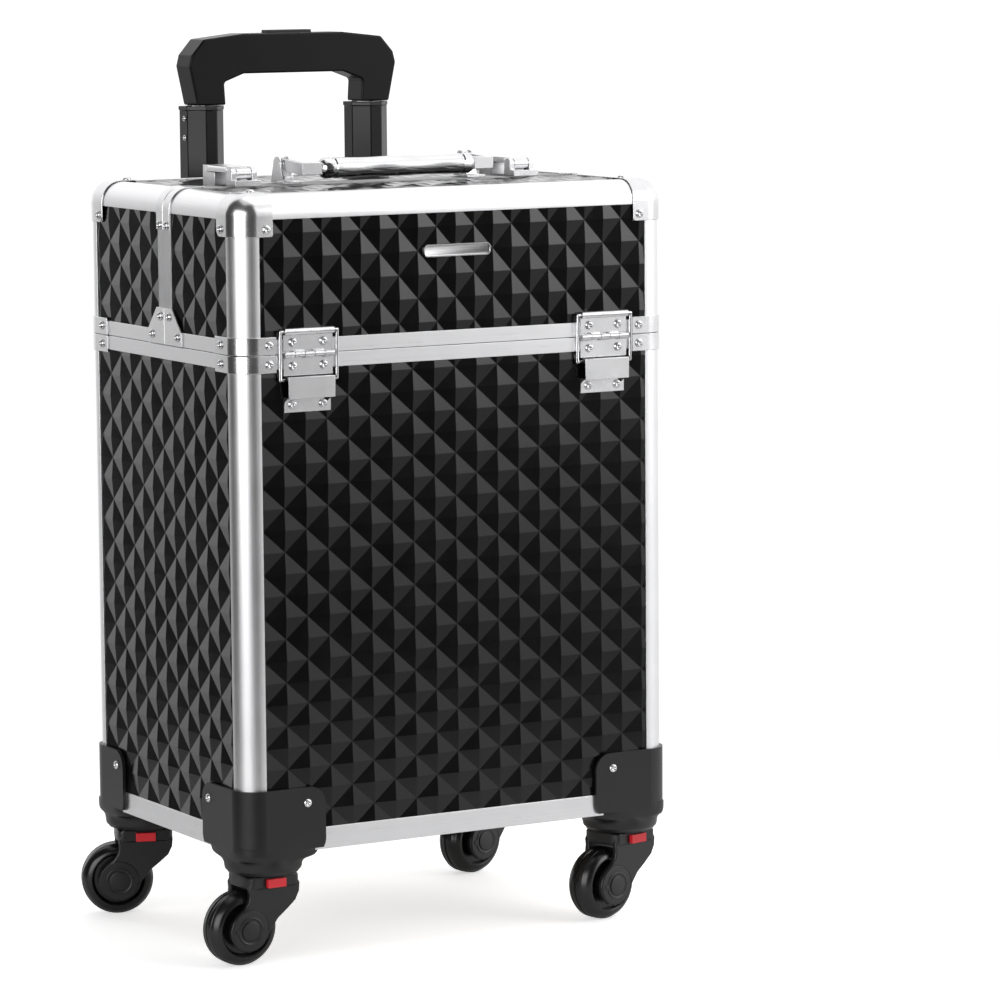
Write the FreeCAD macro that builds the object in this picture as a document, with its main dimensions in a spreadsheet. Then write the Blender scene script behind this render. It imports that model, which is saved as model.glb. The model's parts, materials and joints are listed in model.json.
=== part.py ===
"""Rolling makeup case: aluminium-edged hard case on four swivel casters, with a split top,
front stay hinges, top latches, a carry handle and a telescopic trolley handle.

Frame: millimetres, Z up, origin on the floor under the middle of the case, front towards -Y.
"""
import FreeCAD
import Part
import os
import re
import Sketcher

V = FreeCAD.Vector

# Driving sizes, in millimetres and degrees
SIZES = {
    "case_width": 340.0,
    "case_depth": 240.0,
    "base_z": 79.0,
    "seam_z": 423.2,
    "crest_z": 532.0,
    "seam_gap": 0.4,
    "split_y": -8.0,
    "split_gap": 0.4,
    # Profiles and panels
    "skin": 1.5,
    "wall": 4.0,
    "corner_radius": 15.0,
    "lip": 2.0,
    "base_rail_height": 15.4,
    "base_flange": 16.0,
    "rim_height": 10.0,
    "rim_flange": 6.5,
    "strip_depth": 10.1,
    "floor_thickness": 5.0,
    "lining": 2.0,
    # Brackets, caps and rivets
    "plate": 1.0,
    "bracket_reach_x": 13.6,
    "bracket_reach_y": 19.0,
    "bracket_height": 12.0,
    "gusset_foot": 26.0,
    "gusset_shoulder": 12.0,
    "gusset_low": 10.0,
    "gusset_height": 25.6,
    "cap_reach_x": 12.0,
    "cap_reach_y": 14.0,
    "cap_reach_z": 13.6,
    "cap_round": 23.5,
    "rivet_radius": 3.1,
    "rivet_height": 1.5,
    "small_rivet_radius": 2.2,
    "rivet_seam_drop": 6.3,
    "strip_rivet_drop": 10.6,
    # Stay hinges
    "stay_inset": 52.5,
    "leaf_width": 38.0,
    "leaf_drop": 14.8,
    "hinge_out": 3.0,
    "knuckle_radius": 1.8,
    "hinge_pin_radius": 0.9,
    "pin_clearance": 0.05,
    "knuckle_gap": 0.3,
    "roll_out": 2.4,
    "roll_rise": 15.5,
    "roll_radius": 2.4,
    "wire_radius": 1.1,
    "wire_width": 43.5,
    "wire_rest_drop": 17.6,
    "wire_end_drop": 27.93,
    "wire_back": 1.4,
    "wire_swing": 2.9,
    "channel_width": 35.7,
    "channel_sheet": 0.8,
    "channel_clearance": 0.3,
    "channel_foot": 10.6,
    "stay_rivet_x": 11.8,
    "lower_leaf_rivet_drop": 8.1,
    "upper_leaf_rivet_rise": 8.1,
    "channel_rivet_rise": 5.3,
    # Name plate
    "plate_width": 53.2,
    "plate_height": 9.0,
    "plate_z": 488.9,
    "plate_depth": 2.6,
    # Corner housings
    "housing_reach_x": 61.0,
    "housing_reach_front": 61.0,
    "housing_reach_rear": 50.0,
    "housing_wall": 2.5,
    "housing_rise": 45.0,
    "housing_drop": 3.4,
    "housing_round": 12.0,
    "neck_radius": 26.0,
    "neck_drop": 15.0,
    "neck_chamfer": 3.0,
    "neck_flare_radius": 38.0,
    "neck_flare_height": 8.0,
    "swivel_inset_x": 25.4,
    "swivel_inset_y": 24.0,
    "housing_rivet_z": 113.0,
    "housing_rivet_inset": 14.0,
    # Casters
    "wheel_radius": 26.0,
    "wheel_width": 22.0,
    "tread_round": 6.5,
    "wheel_recess": 4.5,
    "wheel_rim_inner": 18.5,
    "hub_radius": 8.0,
    "axle_radius": 4.0,
    "trail": 19.5,
    "arm_gap": 0.8,
    "arm_thickness": 5.2,
    "arm_end_radius": 15.0,
    "axle_cap_radius": 7.2,
    "axle_cap_height": 0.8,
    "crown_radius": 20.5,
    "crown_height": 10.0,
    "crown_gap": 0.5,
    "stem_radius": 6.0,
    "stem_height": 12.6,
    "stem_end_gap": 0.5,
    "release_width": 17.0,
    "release_height": 7.5,
    "release_depth": 4.0,
    "release_travel": 2.0,
    "release_clearance": 0.3,
    "yaw_front_left": 182.1,
    "yaw_front_right": 193.3,
    "yaw_rear_left": 160.3,
    "yaw_rear_right": 195.2,
    # Telescopic handle
    "trolley_x": 68.0,
    "trolley_back_gap": 0.5,
    "tube_width": 29.4,
    "tube_depth": 23.4,
    "tube_chamfer": 10.2,
    "tube_wall": 2.0,
    "stage_gap": 2.3,
    "stage_wall": 1.5,
    "tube_foot_z": 100.0,
    "tube_top_z": 579.4,
    "inner_foot_z": 140.0,
    "bush_height": 3.0,
    "bush_overhang": 0.5,
    "bush_clearance": 0.3,
    "clamp_z": 392.0,
    "clamp_height": 22.0,
    "clamp_strap": 2.5,
    "foot_height": 16.0,
    "foot_margin": 3.0,
    "grip_gap": 0.6,
    "grip_leg_width": 22.0,
    "grip_shoulder_x": 85.0,
    "grip_shoulder_z": 616.4,
    "grip_top_z": 634.4,
    "grip_opening_z": 605.4,
    "grip_round": 3.0,
    "button_length": 36.0,
    "button_width": 12.0,
    "button_rise": 2.2,
    "button_travel": 4.0,
    "button_height": 11.0,
    "button_clearance": 0.3,
    # Carry handle
    "handle_x": 74.0,
    "lug_width": 9.0,
    "lug_cheek": 1.6,
    "lug_depth": 19.0,
    "lug_height": 19.0,
    "lug_round": 5.5,
    "lug_lift": 0.7,
    "lug_foot_width": 15.0,
    "handle_pivot_y": -2.0,
    "handle_pin_radius": 2.0,
    "handle_side_clearance": 0.3,
    "handle_reach": 32.0,
    "handle_rest_z": 543.5,
    "grip_bar_radius": 7.3,
    "grip_bar_length": 122.0,
    "grip_bar_round": 4.0,
    "handle_boss_radius": 4.6,
    "elbow_height": 8.5,
    "elbow_depth": 8.5,
    # Top latches
    "latch_x": 112.0,
    "latch_width": 20.0,
    "latch_pin_y": -14.0,
    "latch_pin_rise": 8.5,
    "latch_pin_radius": 1.5,
    "latch_knuckle_radius": 4.0,
    "latch_knuckle_width": 11.4,
    "latch_side_clearance": 0.3,
    "latch_front_y": -24.0,
    "hasp_back_y": 21.5,
    "hasp_low": 9.2,
    "hasp_thickness": 4.3,
    "tongue_y": 17.0,
    "tongue_length": 2.0,
    "tongue_depth": 2.0,
    "tongue_width": 12.0,
    "slot_clearance": 2.6,
    "lock_front_y": 8.5,
    "lock_back_y": 27.0,
    "hasp_gap": 0.4,
    "tie_plate": 1.2,
    "tie_margin": 3.0,
}

# Places and sizes that follow from the driving sizes
DERIVED = {
    "half_x": "case_width / 2",
    "half_y": "case_depth / 2",
    "stay_x": "half_x - stay_inset",
    "web": "skin + wall",
    "web_radius": "corner_radius - web",
    "edge_x": "half_x - corner_radius",
    "edge_y": "half_y - corner_radius",
    "edge_z": "crest_z - corner_radius",
    "lower_top": "seam_z - seam_gap / 2",
    "upper_bottom": "seam_z + seam_gap / 2",
    "rear_inner": "split_y + split_gap / 2",
    "front_inner": "split_gap / 2 - split_y",
    "floor_top": "base_z + skin + floor_thickness",
    "rivet_sphere": "(rivet_radius^2 + rivet_height^2) / (2 * rivet_height)",
    "small_sphere": "(small_rivet_radius^2 + rivet_height^2) / (2 * rivet_height)",
    "knuckle_y": "-(half_y + hinge_out)",
    "roll_y": "-(half_y + roll_out)",
    "roll_z": "seam_z + roll_rise",
    "wire_y": "-(half_y + wire_back)",
    "wire_z": "seam_z - wire_rest_drop",
    "channel_top": "wire_z + wire_radius + channel_clearance",
    "channel_bottom": "seam_z - wire_end_drop - wire_radius - channel_clearance",
    "channel_face": "half_y + wire_back + wire_swing + wire_radius + channel_clearance",
    "channel_seat": "half_y - skin",
    "housing_low": "base_z - housing_drop",
    "housing_high": "base_z + housing_rise",
    "neck_low": "base_z - neck_drop",
    "housing_face_x": "half_x + housing_wall",
    "housing_face_y": "half_y + housing_wall",
    "swivel_x": "half_x - swivel_inset_x",
    "swivel_y": "half_y - swivel_inset_y",
    "crown_top": "neck_low - crown_gap",
    "crown_low": "crown_top - crown_height",
    "stem_top": "crown_top + stem_height",
    "fork_inner": "wheel_width / 2 + arm_gap",
    "fork_outer": "fork_inner + arm_thickness",
    "release_low": "crown_top - 1.6 - release_height",
    "tube_front": "half_y + trolley_back_gap",
    "tube_back": "tube_front + tube_depth",
    "tube_middle": "tube_front + tube_depth / 2",
    "grip_low": "tube_top_z + bush_height + grip_gap",
    "button_low": "grip_top_z + button_rise - button_height",
    "pivot_z": "crest_z + lug_height - lug_round",
    "arm_outer_x": "handle_x + lug_width / 2 - lug_cheek - handle_side_clearance",
    "arm_inner_x": "handle_x - lug_width / 2 + lug_cheek + handle_side_clearance",
    "grip_bar_y": "handle_pivot_y - handle_reach",
    "latch_pin_z": "crest_z + latch_pin_rise",
    "hasp_z": "crest_z + hasp_low",
    "lock_top": "hasp_z - hasp_gap",
}

# Which way a round piece lies: its own Z turned onto X, Y or Z
LIE = {
    "x": FreeCAD.Rotation(V(1, 1, 1), 120),
    "y": FreeCAD.Rotation(V(1, 1, 1), 240),
    "z": FreeCAD.Rotation(),
}
CROSS = {"x": "yz", "y": "xz", "z": "xy"}
EDGE = {"x": "edge_x", "y": "edge_y", "z": "edge_z"}
OUTSIDE = {"x": "half_x", "y": "half_y", "z": "crest_z"}

doc = FreeCAD.newDocument("MakeupCase")
sheet = doc.addObject("Spreadsheet::Sheet", "Sizes")
for row, (alias, number) in enumerate(SIZES.items(), start=1):
    sheet.set(f"A{row}", alias)
    sheet.set(f"B{row}", str(number))
    sheet.setAlias(f"B{row}", alias)
doc.recompute()

nodes = {}


def formula(text):
    """Write a size formula with every name turned into the sheet cells that it stands for."""
    def expand(match):
        word = match.group(0)
        if word in DERIVED:
            return "(" + formula(DERIVED[word]) + ")"
        return "Sizes." + word if word in SIZES else word
    return re.sub(r"[a-z]\w*", expand, str(text))


def bind(item, **formulas):
    for name, text in formulas.items():
        item.setExpression(name, formula(text))


def move(item, x=0, y=0, z=0):
    for axis, text in (("x", x), ("y", y), ("z", z)):
        item.setExpression("Placement.Base." + axis, formula(text))
    return item


def box(name, x, y, z):
    """A block between two formulas on each axis."""
    item = doc.addObject("Part::Box", name)
    bind(item, Length=f"({x[1]}) - ({x[0]})", Width=f"({y[1]}) - ({y[0]})",
         Height=f"({z[1]}) - ({z[0]})")
    return move(item, x[0], y[0], z[0])


def rod(name, axis, start, length, radius, sweep=360):
    """A cylinder along an axis from its start point, or a quarter of one with sweep 90."""
    item = doc.addObject("Part::Cylinder", name)
    item.Placement = FreeCAD.Placement(V(), LIE[axis])
    item.Angle = sweep
    bind(item, Radius=radius, Height=length)
    return move(item, *start)


def cone(name, start, height, radius_low, radius_high):
    item = doc.addObject("Part::Cone", name)
    bind(item, Radius1=radius_low, Radius2=radius_high, Height=height)
    return move(item, *start)


def ball(name, centre, radius, octant=False):
    item = doc.addObject("Part::Sphere", name)
    if octant:
        item.Angle1 = 0
        item.Angle3 = 90
    bind(item, Radius=radius)
    return move(item, *centre)


def cut(name, base, *tools):
    for number, tool in enumerate(tools):
        item = doc.addObject("Part::Cut", f"{name}_{number}")
        item.Base = base
        item.Tool = tool
        base = item
    return base


def fuse(name, *items):
    item = doc.addObject("Part::MultiFuse", name)
    item.Shapes = items
    return item


def common(name, *items):
    item = doc.addObject("Part::MultiCommon", name)
    item.Shapes = items
    return item


def group(name, *items):
    item = doc.addObject("Part::Compound", name)
    item.Links = items
    return item


def mirror(source, axis):
    item = doc.addObject("Part::Mirroring", source.Name + "Mirror" + axis.upper())
    item.Source = source
    item.Normal = {"x": V(1, 0, 0), "y": V(0, 1, 0)}[axis]
    return item


def both_sides(name, *items):
    """The items and their mirror images across the middle plane, as one group."""
    return group(name, *items, *(mirror(item, "x") for item in items))


def node(label, item):
    item.Label = label
    nodes[label] = item
    return item


def body(name):
    return doc.addObject("PartDesign::Body", name)


def sketch(owner, plane, offset, *loops):
    """A sketch of closed loops: lists of corners, or (x, y, radius) for a circle."""
    item = owner.newObject("Sketcher::SketchObject", owner.Name + "Sketch")
    origin = [face for face in owner.Origin.OriginFeatures if face.Role == plane + "_Plane"]
    item.AttachmentSupport = [(origin[0], "")]
    item.MapMode = "FlatFace"
    item.setExpression("AttachmentOffset.Base.z", formula(offset))
    for loop in loops:
        if isinstance(loop, tuple):
            add_circle(item, *loop)
        else:
            add_polygon(item, loop)
    return item


def add_circle(item, x, y, radius):
    index = item.addGeometry(Part.Circle(V(), V(0, 0, 1), 5))
    fix_point(item, index, 3, x, y)
    number = item.addConstraint(Sketcher.Constraint("Radius", index, 5))
    item.renameConstraint(number, f"radius{index}")
    item.setExpression(f"Constraints.radius{index}", formula(radius))


def fix_point(item, index, point, x, y):
    """Hold a sketch point at two formulas, measured from the sketch's origin."""
    for kind, text in (("DistanceX", x), ("DistanceY", y)):
        number = item.addConstraint(Sketcher.Constraint(kind, -1, 1, index, point, 1.0))
        name = f"{kind}{index}"
        item.renameConstraint(number, name)
        item.setExpression("Constraints." + name, formula(text))


def add_polygon(item, corners):
    """Straight edges through the corners; each corner is a pair of formulas."""
    turn = FreeCAD.Rotation(V(0, 0, 1), 360 / len(corners))
    points = [V(50, 0, 0)]
    for _ in corners[1:]:
        points.append(turn.multVec(points[-1]))
    first = item.GeometryCount
    for start, end in zip(points, points[1:] + points[:1]):
        item.addGeometry(Part.LineSegment(start, end))
    for number, (x, y) in enumerate(corners):
        following = first + (number + 1) % len(corners)
        item.addConstraint(Sketcher.Constraint("Coincident", first + number, 2, following, 1))
        fix_point(item, first + number, 1, x, y)


def pad(owner, plane, low, high, *loops):
    """Pad a sketch between two heights along its plane's axis."""
    offset = f"-({high})" if plane == "XZ" else low
    item = owner.newObject("PartDesign::Pad", owner.Name + "Pad")
    item.Profile = sketch(owner, plane, offset, *loops)
    bind(item, Length=f"({high}) - ({low})")
    return item


def pocket(owner, plane, low, high, *loops):
    """Cut a sketch out of the body between two heights along its plane's axis."""
    offset = f"-({low})" if plane == "XZ" else high
    item = owner.newObject("PartDesign::Pocket", owner.Name + "Pocket")
    item.Profile = sketch(owner, plane, offset, *loops)
    bind(item, Length=f"({high}) - ({low})")
    return item


def fillet(owner, base, radius, wanted):
    """Round the edges of the base feature that the test accepts."""
    doc.recompute()
    names = [f"Edge{number}" for number, edge in enumerate(base.Shape.Edges, start=1)
             if wanted(edge, base.Shape.BoundBox)]
    item = owner.newObject("PartDesign::Fillet", owner.Name + "Fillet")
    item.Base = (base, names)
    bind(item, Radius=radius)
    return item


def rectangle(x, y):
    return [(x[0], y[0]), (x[1], y[0]), (x[1], y[1]), (x[0], y[1])]


def runs_along(edge, axis):
    span = edge.BoundBox
    lengths = {"x": span.XLength, "y": span.YLength, "z": span.ZLength}
    return all(lengths[other] < 0.001 for other in CROSS[axis])


def upright(edge, span):
    return runs_along(edge, "z")


def outer_upright(edge, span):
    middle = edge.CenterOfMass
    return runs_along(edge, "z") and span.XMax - middle.x < 0.01 and span.YMax - middle.y < 0.01


def closed_side(edge, span):
    """Edges of a half shell that lie away from its open bottom and its open split side."""
    middle = edge.CenterOfMass
    return middle.z > span.ZMin + 0.01 and middle.y > span.YMin + 0.01


def shoulder(edge, span):
    return runs_along(edge, "y") and edge.CenterOfMass.z > span.ZMin + span.ZLength * 0.6


# Profiles shared by the lower case and both upper halves

def corner_rail(name, axis, low, high):
    """Rounded corner profile along one axis: a quarter ring and two lips over the panels."""
    a, b = CROSS[axis]
    start = {a: EDGE[a], b: EDGE[b], axis: low}
    place = [start[key] for key in "xyz"]
    length = f"({high}) - ({low})"
    ring = cut(name + "Ring", rod(name + "Outer", axis, place, length, "corner_radius", 90),
               rod(name + "Inner", axis, place, length, "web_radius"))
    lips = []
    for along, across in ((a, b), (b, a)):
        spans = {along: (f"{EDGE[along]} - lip", EDGE[along]),
                 across: (f"{OUTSIDE[across]} - skin", OUTSIDE[across]), axis: (low, high)}
        lips.append(box(name + "Lip" + along, **spans))
    return fuse(name, ring, *lips)


def edge_rail(name, side, along, face, flange, reach):
    """Straight angle rail on the front (side y) or flank (side x): a face and a level flange."""
    run = {"x": "y", "y": "x"}[side]
    outside = OUTSIDE[side]
    front = box(name + "Face", **{run: along, side: (f"{outside} - skin", outside), "z": face})
    shelf = box(name + "Flange", **{run: along, side: (f"{outside} - {reach}", outside), "z": flange})
    return fuse(name, front, shelf)


def rivet(name, face, x, y, z, small=False):
    """Dome head standing on a face that looks along +x, +y or +z."""
    sphere = "small_sphere" if small else "rivet_sphere"
    item = doc.addObject("Part::Sphere", name)
    item.Placement = FreeCAD.Placement(V(), LIE[face])
    item.Angle2 = 90
    bind(item, Radius=sphere, Angle1=f"asin(({sphere} - rivet_height) / {sphere})")
    seat = {"x": x, "y": y, "z": z}
    seat[face] = f"{seat[face]} - ({sphere} - rivet_height)"
    return move(item, seat["x"], seat["y"], seat["z"])


def corner_cap(name):
    """Ball corner over three rails, with a tab on each face."""
    outer = "corner_radius + plate"
    centre = ("edge_x", "edge_y", "edge_z")
    pieces = [cut(name + "Ball", ball(name + "Out", centre, outer, True),
                  ball(name + "In", centre, "web_radius"))]
    for axis in "xyz":
        a, b = CROSS[axis]
        reach = f"cap_reach_{axis}"
        start = [f"{EDGE[key]} - {reach}" if key == axis else EDGE[key] for key in "xyz"]
        pieces.append(cut(name + "Sleeve" + axis, rod(name + "Out" + axis, axis, start, reach, outer, 90),
                          rod(name + "In" + axis, axis, start, reach, "corner_radius")))
        spans = {key: (f"{EDGE[key]} - cap_reach_{key}", EDGE[key]) for key in (a, b)}
        spans[axis] = (OUTSIDE[axis], f"{OUTSIDE[axis]} + plate")
        pieces.append(box(name + "Tab" + axis, **spans))
    return common(name, fuse(name + "Whole", *pieces), ball(name + "Round", centre, "cap_round"))


def seam_bracket(name, low, high):
    """Corner plate around a post at the seam."""
    length = f"({high}) - ({low})"
    start = ("edge_x", "edge_y", low)
    bend = cut(name + "Bend", rod(name + "Out", "z", start, length, "corner_radius + plate", 90),
               rod(name + "In", "z", start, length, "corner_radius"))
    leg_x = box(name + "LegX", ("edge_x - bracket_reach_x", "edge_x"), ("half_y", "half_y + plate"),
                (low, high))
    leg_y = box(name + "LegY", ("half_x", "half_x + plate"), ("edge_y - bracket_reach_y", "edge_y"),
                (low, high))
    return fuse(name, bend, leg_x, leg_y)


# Lower case

def lower_walls():
    z = ("base_z + skin", "lower_top - skin")
    front = box("LowerWallY", ("-edge_x", "edge_x"), ("half_y - web", "half_y - skin"), z)
    side = box("LowerWallX", ("half_x - web", "half_x - skin"), ("-edge_y", "edge_y"), z)
    node("lower_wall_panels", group("LowerWalls", front, mirror(front, "y"), side, mirror(side, "x")))


def lower_floor():
    owner = body("LowerFloor")
    base = pad(owner, "XY", "base_z + skin", "floor_top",
               rectangle(("web - half_x", "half_x - web"), ("web - half_y", "half_y - web")))
    fillet(owner, base, "web_radius", upright)
    node("lower_floor_panel", owner)


def four_corners(name, item):
    across = mirror(item, "x")
    return group(name, item, across, mirror(item, "y"), mirror(across, "y"))


def lower_frame():
    node("lower_corner_posts", four_corners("LowerPosts", corner_rail("LowerPost", "z", "base_z", "lower_top")))
    rails = {
        "base_rails": (("base_z", "base_z + base_rail_height"), ("base_z", "base_z + skin"), "base_flange"),
        "lower_rim_rails": (("lower_top - rim_height", "lower_top"), ("lower_top - skin", "lower_top"),
                            "rim_flange"),
    }
    for label, (face, flange, reach) in rails.items():
        front = edge_rail(label + "Y", "y", ("lip - edge_x", "edge_x - lip"), face, flange, reach)
        side = edge_rail(label + "X", "x", ("lip - edge_y", "edge_y - lip"), face, flange, reach)
        node(label, group(label + "Set", front, mirror(front, "y"), side, mirror(side, "x")))
    node("lower_seam_brackets", four_corners(
        "LowerBrackets", seam_bracket("LowerBracket", "lower_top - bracket_height", "lower_top")))


def lower_lining():
    outer = body("LowerLiningOuter")
    z = ("floor_top", "lower_top - skin")
    base = pad(outer, "XY", *z, rectangle(("web - half_x", "half_x - web"), ("web - half_y", "half_y - web")))
    fillet(outer, base, "web_radius", upright)
    inner = body("LowerLiningInner")
    x = ("web + lining - half_x", "half_x - web - lining")
    y = ("web + lining - half_y", "half_y - web - lining")
    base = pad(inner, "XY", "floor_top + lining", "lower_top", rectangle(x, y))
    fillet(inner, base, "web_radius - lining", upright)
    node("lower_lining", cut("LowerLining", outer, inner))


# Upper halves: built towards +Y, and mirrored for the front half

def half_inner(half):
    return half + "_inner"


def half_node(half, label, item):
    node(f"{half}_{label}", mirror(item, "y") if half == "front" else item)


def half_panels(half):
    inner = half_inner(half)
    z = ("upper_bottom + skin", "edge_z")
    y = (f"{inner} + strip_depth", "edge_y")
    back = box(half + "Wall", ("-edge_x", "edge_x"), ("half_y - web", "half_y - skin"), z)
    side = box(half + "Side", ("half_x - web", "half_x - skin"), y, z)
    half_node(half, "wall_panels", group(half + "Walls", back, side, mirror(side, "x")))
    half_node(half, "top_panel", box(half + "Top", ("-edge_x", "edge_x"), y, ("crest_z - web", "crest_z - skin")))


def half_frame(half):
    inner = half_inner(half)
    y_start = f"{inner} + strip_depth"
    half_node(half, "corner_posts",
              both_sides(half + "Posts", corner_rail(half + "Post", "z", "upper_bottom", "edge_z")))
    side = corner_rail(half + "TopSide", "y", y_start, "edge_y")
    back = corner_rail(half + "TopBack", "x", "-edge_x", "edge_x")
    half_node(half, "top_rails", group(half + "TopRails", back, side, mirror(side, "x")))
    face = ("upper_bottom", "upper_bottom + rim_height")
    flange = ("upper_bottom", "upper_bottom + skin")
    back = edge_rail(half + "SeamBack", "y", ("lip - edge_x", "edge_x - lip"), face, flange, "rim_flange")
    side = edge_rail(half + "SeamSide", "x", (y_start, "edge_y - lip"), face, flange, "rim_flange")
    half_node(half, "seam_rails", group(half + "SeamRails", back, side, mirror(side, "x")))
    half_node(half, "corner_caps", both_sides(half + "Caps", corner_cap(half + "Cap")))


def half_strip(half):
    """Arched strip up one flank, over the top and down the other, beside the split."""
    inner = half_inner(half)
    owner = body(half + "Strip")
    corners = [("-half_x", "upper_bottom"), ("-half_x", "crest_z"), ("half_x", "crest_z"),
               ("half_x", "upper_bottom"), ("half_x - web", "upper_bottom"),
               ("half_x - web", "crest_z - web"), ("web - half_x", "crest_z - web"),
               ("web - half_x", "upper_bottom")]
    base = pad(owner, "XZ", inner, f"{inner} + strip_depth", corners)
    outer = fillet(owner, base, "corner_radius",
                   lambda edge, span: shoulder(edge, span) and span.ZMax - edge.CenterOfMass.z < 0.01)
    fillet(owner, outer, "web_radius",
           lambda edge, span: shoulder(edge, span) and abs(edge.CenterOfMass.x) < span.XMax * 0.99
           and edge.Length > span.YLength * 0.99 and not touches_top(edge, span))
    half_node(half, "split_strip", owner)


def touches_top(edge, span):
    """Edges that an earlier rounding left on the crest or on the flanks."""
    middle = edge.CenterOfMass
    return span.ZMax - middle.z < 0.01 or span.XMax - abs(middle.x) < 0.01


def half_brackets(half):
    """Seam corner plate, strip gusset and strip corner plate on each flank."""
    inner = half_inner(half)
    seam = seam_bracket(half + "Seam", "upper_bottom", "upper_bottom + bracket_height")
    owner = body(half + "Gusset")
    corners = [(inner, "upper_bottom"), (f"{inner} + gusset_foot", "upper_bottom"),
               (f"{inner} + gusset_foot", "upper_bottom + gusset_low"),
               (f"{inner} + gusset_shoulder", "upper_bottom + gusset_height"),
               (inner, "upper_bottom + gusset_height")]
    pad(owner, "YZ", "half_x", "half_x + plate", corners)
    start = ("edge_x", inner, "edge_z")
    bend = cut(half + "StripBend", rod(half + "StripOut", "y", start, "strip_depth", "corner_radius + plate", 90),
               rod(half + "StripIn", "y", start, "strip_depth", "corner_radius"))
    y = (inner, f"{inner} + strip_depth")
    leg = box(half + "StripLeg", ("half_x", "half_x + plate"), y, ("edge_z - cap_reach_z", "edge_z"))
    top = box(half + "StripTop", ("edge_x - cap_reach_x", "edge_x"), y, ("crest_z", "crest_z + plate"))
    strip = fuse(half + "StripPlate", bend, leg, top)
    half_node(half, "brackets", both_sides(half + "Brackets", seam, owner, strip))


def half_lining(half):
    """Soft lining, open below and towards the split."""
    inner = half_inner(half)
    outer_body = body(half + "LiningOuter")
    base = pad(outer_body, "XY", "upper_bottom + skin", "crest_z - web",
               rectangle(("web - half_x", "half_x - web"), (inner, "half_y - web")))
    fillet(outer_body, base, "web_radius", closed_side)
    inner_body = body(half + "LiningInner")
    base = pad(inner_body, "XY", "upper_bottom", "crest_z - web - lining",
               rectangle(("web + lining - half_x", "half_x - web - lining"),
                         (f"{inner} - lining", "half_y - web - lining")))
    fillet(inner_body, base, "web_radius - lining", closed_side)
    half_node(half, "lining", cut(half + "Lining", outer_body, inner_body))


def half_rivets(half):
    """Rivets of one flank and the back or front of a half, on its brackets and caps."""
    inner = half_inner(half)
    seat_x = "half_x + plate"
    seat_y = "half_y + plate"
    strip_y = f"{inner} + strip_depth / 2"
    cap_z = "edge_z - cap_reach_z + 5"
    return [
        rivet(half + "RivetSeamY", "y", "edge_x - 8", seat_y, "upper_bottom + rivet_seam_drop"),
        rivet(half + "RivetSeamX", "x", seat_x, "edge_y - 10.5", "upper_bottom + rivet_seam_drop"),
        rivet(half + "RivetCapY", "y", "edge_x - 7", seat_y, cap_z),
        rivet(half + "RivetCapX", "x", seat_x, "edge_y - 8", cap_z),
        rivet(half + "RivetCapTop", "z", "edge_x - 7", "edge_y - 8", "crest_z + plate"),
        rivet(half + "RivetStrip", "x", seat_x, strip_y, "edge_z - strip_rivet_drop"),
        rivet(half + "RivetGussetHigh", "x", seat_x, f"{inner} + gusset_shoulder / 2 + 0.6",
              "upper_bottom + gusset_height - 6"),
        rivet(half + "RivetGussetLow", "x", seat_x, f"{inner} + gusset_foot - 6.4",
              "upper_bottom + rivet_seam_drop"),
    ]


# Stay hinges

def knuckle_row(name, spans):
    """Knuckles of one leaf around the seam hinge's pin."""
    return [rod(f"{name}{number}", "x", (low, "knuckle_y", "seam_z"), f"({high}) - ({low})", "knuckle_radius")
            for number, (low, high) in enumerate(spans)]


def stay_leaves():
    """Leaves below and above the seam: the lower one holds the pin, the upper one turns on it."""
    left = "stay_x - leaf_width / 2"
    fifth = "leaf_width / 5"
    edges = [f"{left} + {number} * {fifth}" for number in range(6)]
    gap = "knuckle_gap / 2"
    low = [(edges[n] + (f" + {gap}" if n else ""), edges[n + 1] + (f" - {gap}" if n < 4 else ""))
           for n in (0, 2, 4)]
    high = [(f"{edges[n]} + {gap}", f"{edges[n + 1]} - {gap}") for n in (1, 3)]
    x = (left, f"{left} + leaf_width")
    y = ("-(half_y + plate)", "-half_y")
    reach = ("knuckle_y - 0.2", "-half_y")
    bridges = [box(f"LowLeafTab{n}", span, reach, ("seam_z - knuckle_radius - plate", "seam_z - knuckle_radius + 0.8"))
               for n, span in enumerate(low)]
    sheet_low = box("LowLeaf", x, y, ("seam_z - leaf_drop", "seam_z - knuckle_radius - 0.2"))
    pin = rod("StayPin", "x", (left, "knuckle_y", "seam_z"), "leaf_width", "hinge_pin_radius")
    lower = fuse("LowLeafWhole", sheet_low, pin, *bridges, *knuckle_row("LowKnuckle", low))
    node("stay_lower_leaves", both_sides("StayLowerLeaves", lower))
    bridges = [box(f"HighLeafTab{n}", span, reach, ("seam_z + knuckle_radius - 0.8", "seam_z + knuckle_radius + plate"))
               for n, span in enumerate(high)]
    sheet_high = box("HighLeaf", x, y, ("seam_z + knuckle_radius + 0.2", "roll_z"))
    roll = rod("Roll", "x", (left, "roll_y", "roll_z"), "leaf_width", "roll_radius")
    solid = fuse("HighLeafWhole", sheet_high, roll, *bridges, *knuckle_row("HighKnuckle", high))
    bore = rod("StayPinBore", "x", (left, "knuckle_y", "seam_z"), "leaf_width", "hinge_pin_radius + pin_clearance")
    roll_bore = rod("RollBore", "x", (left, "roll_y", "roll_z"), "leaf_width", "wire_radius + pin_clearance")
    node("stay_upper_leaves", both_sides("StayUpperLeaves", cut("HighLeafBored", solid, bore, roll_bore)))


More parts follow.
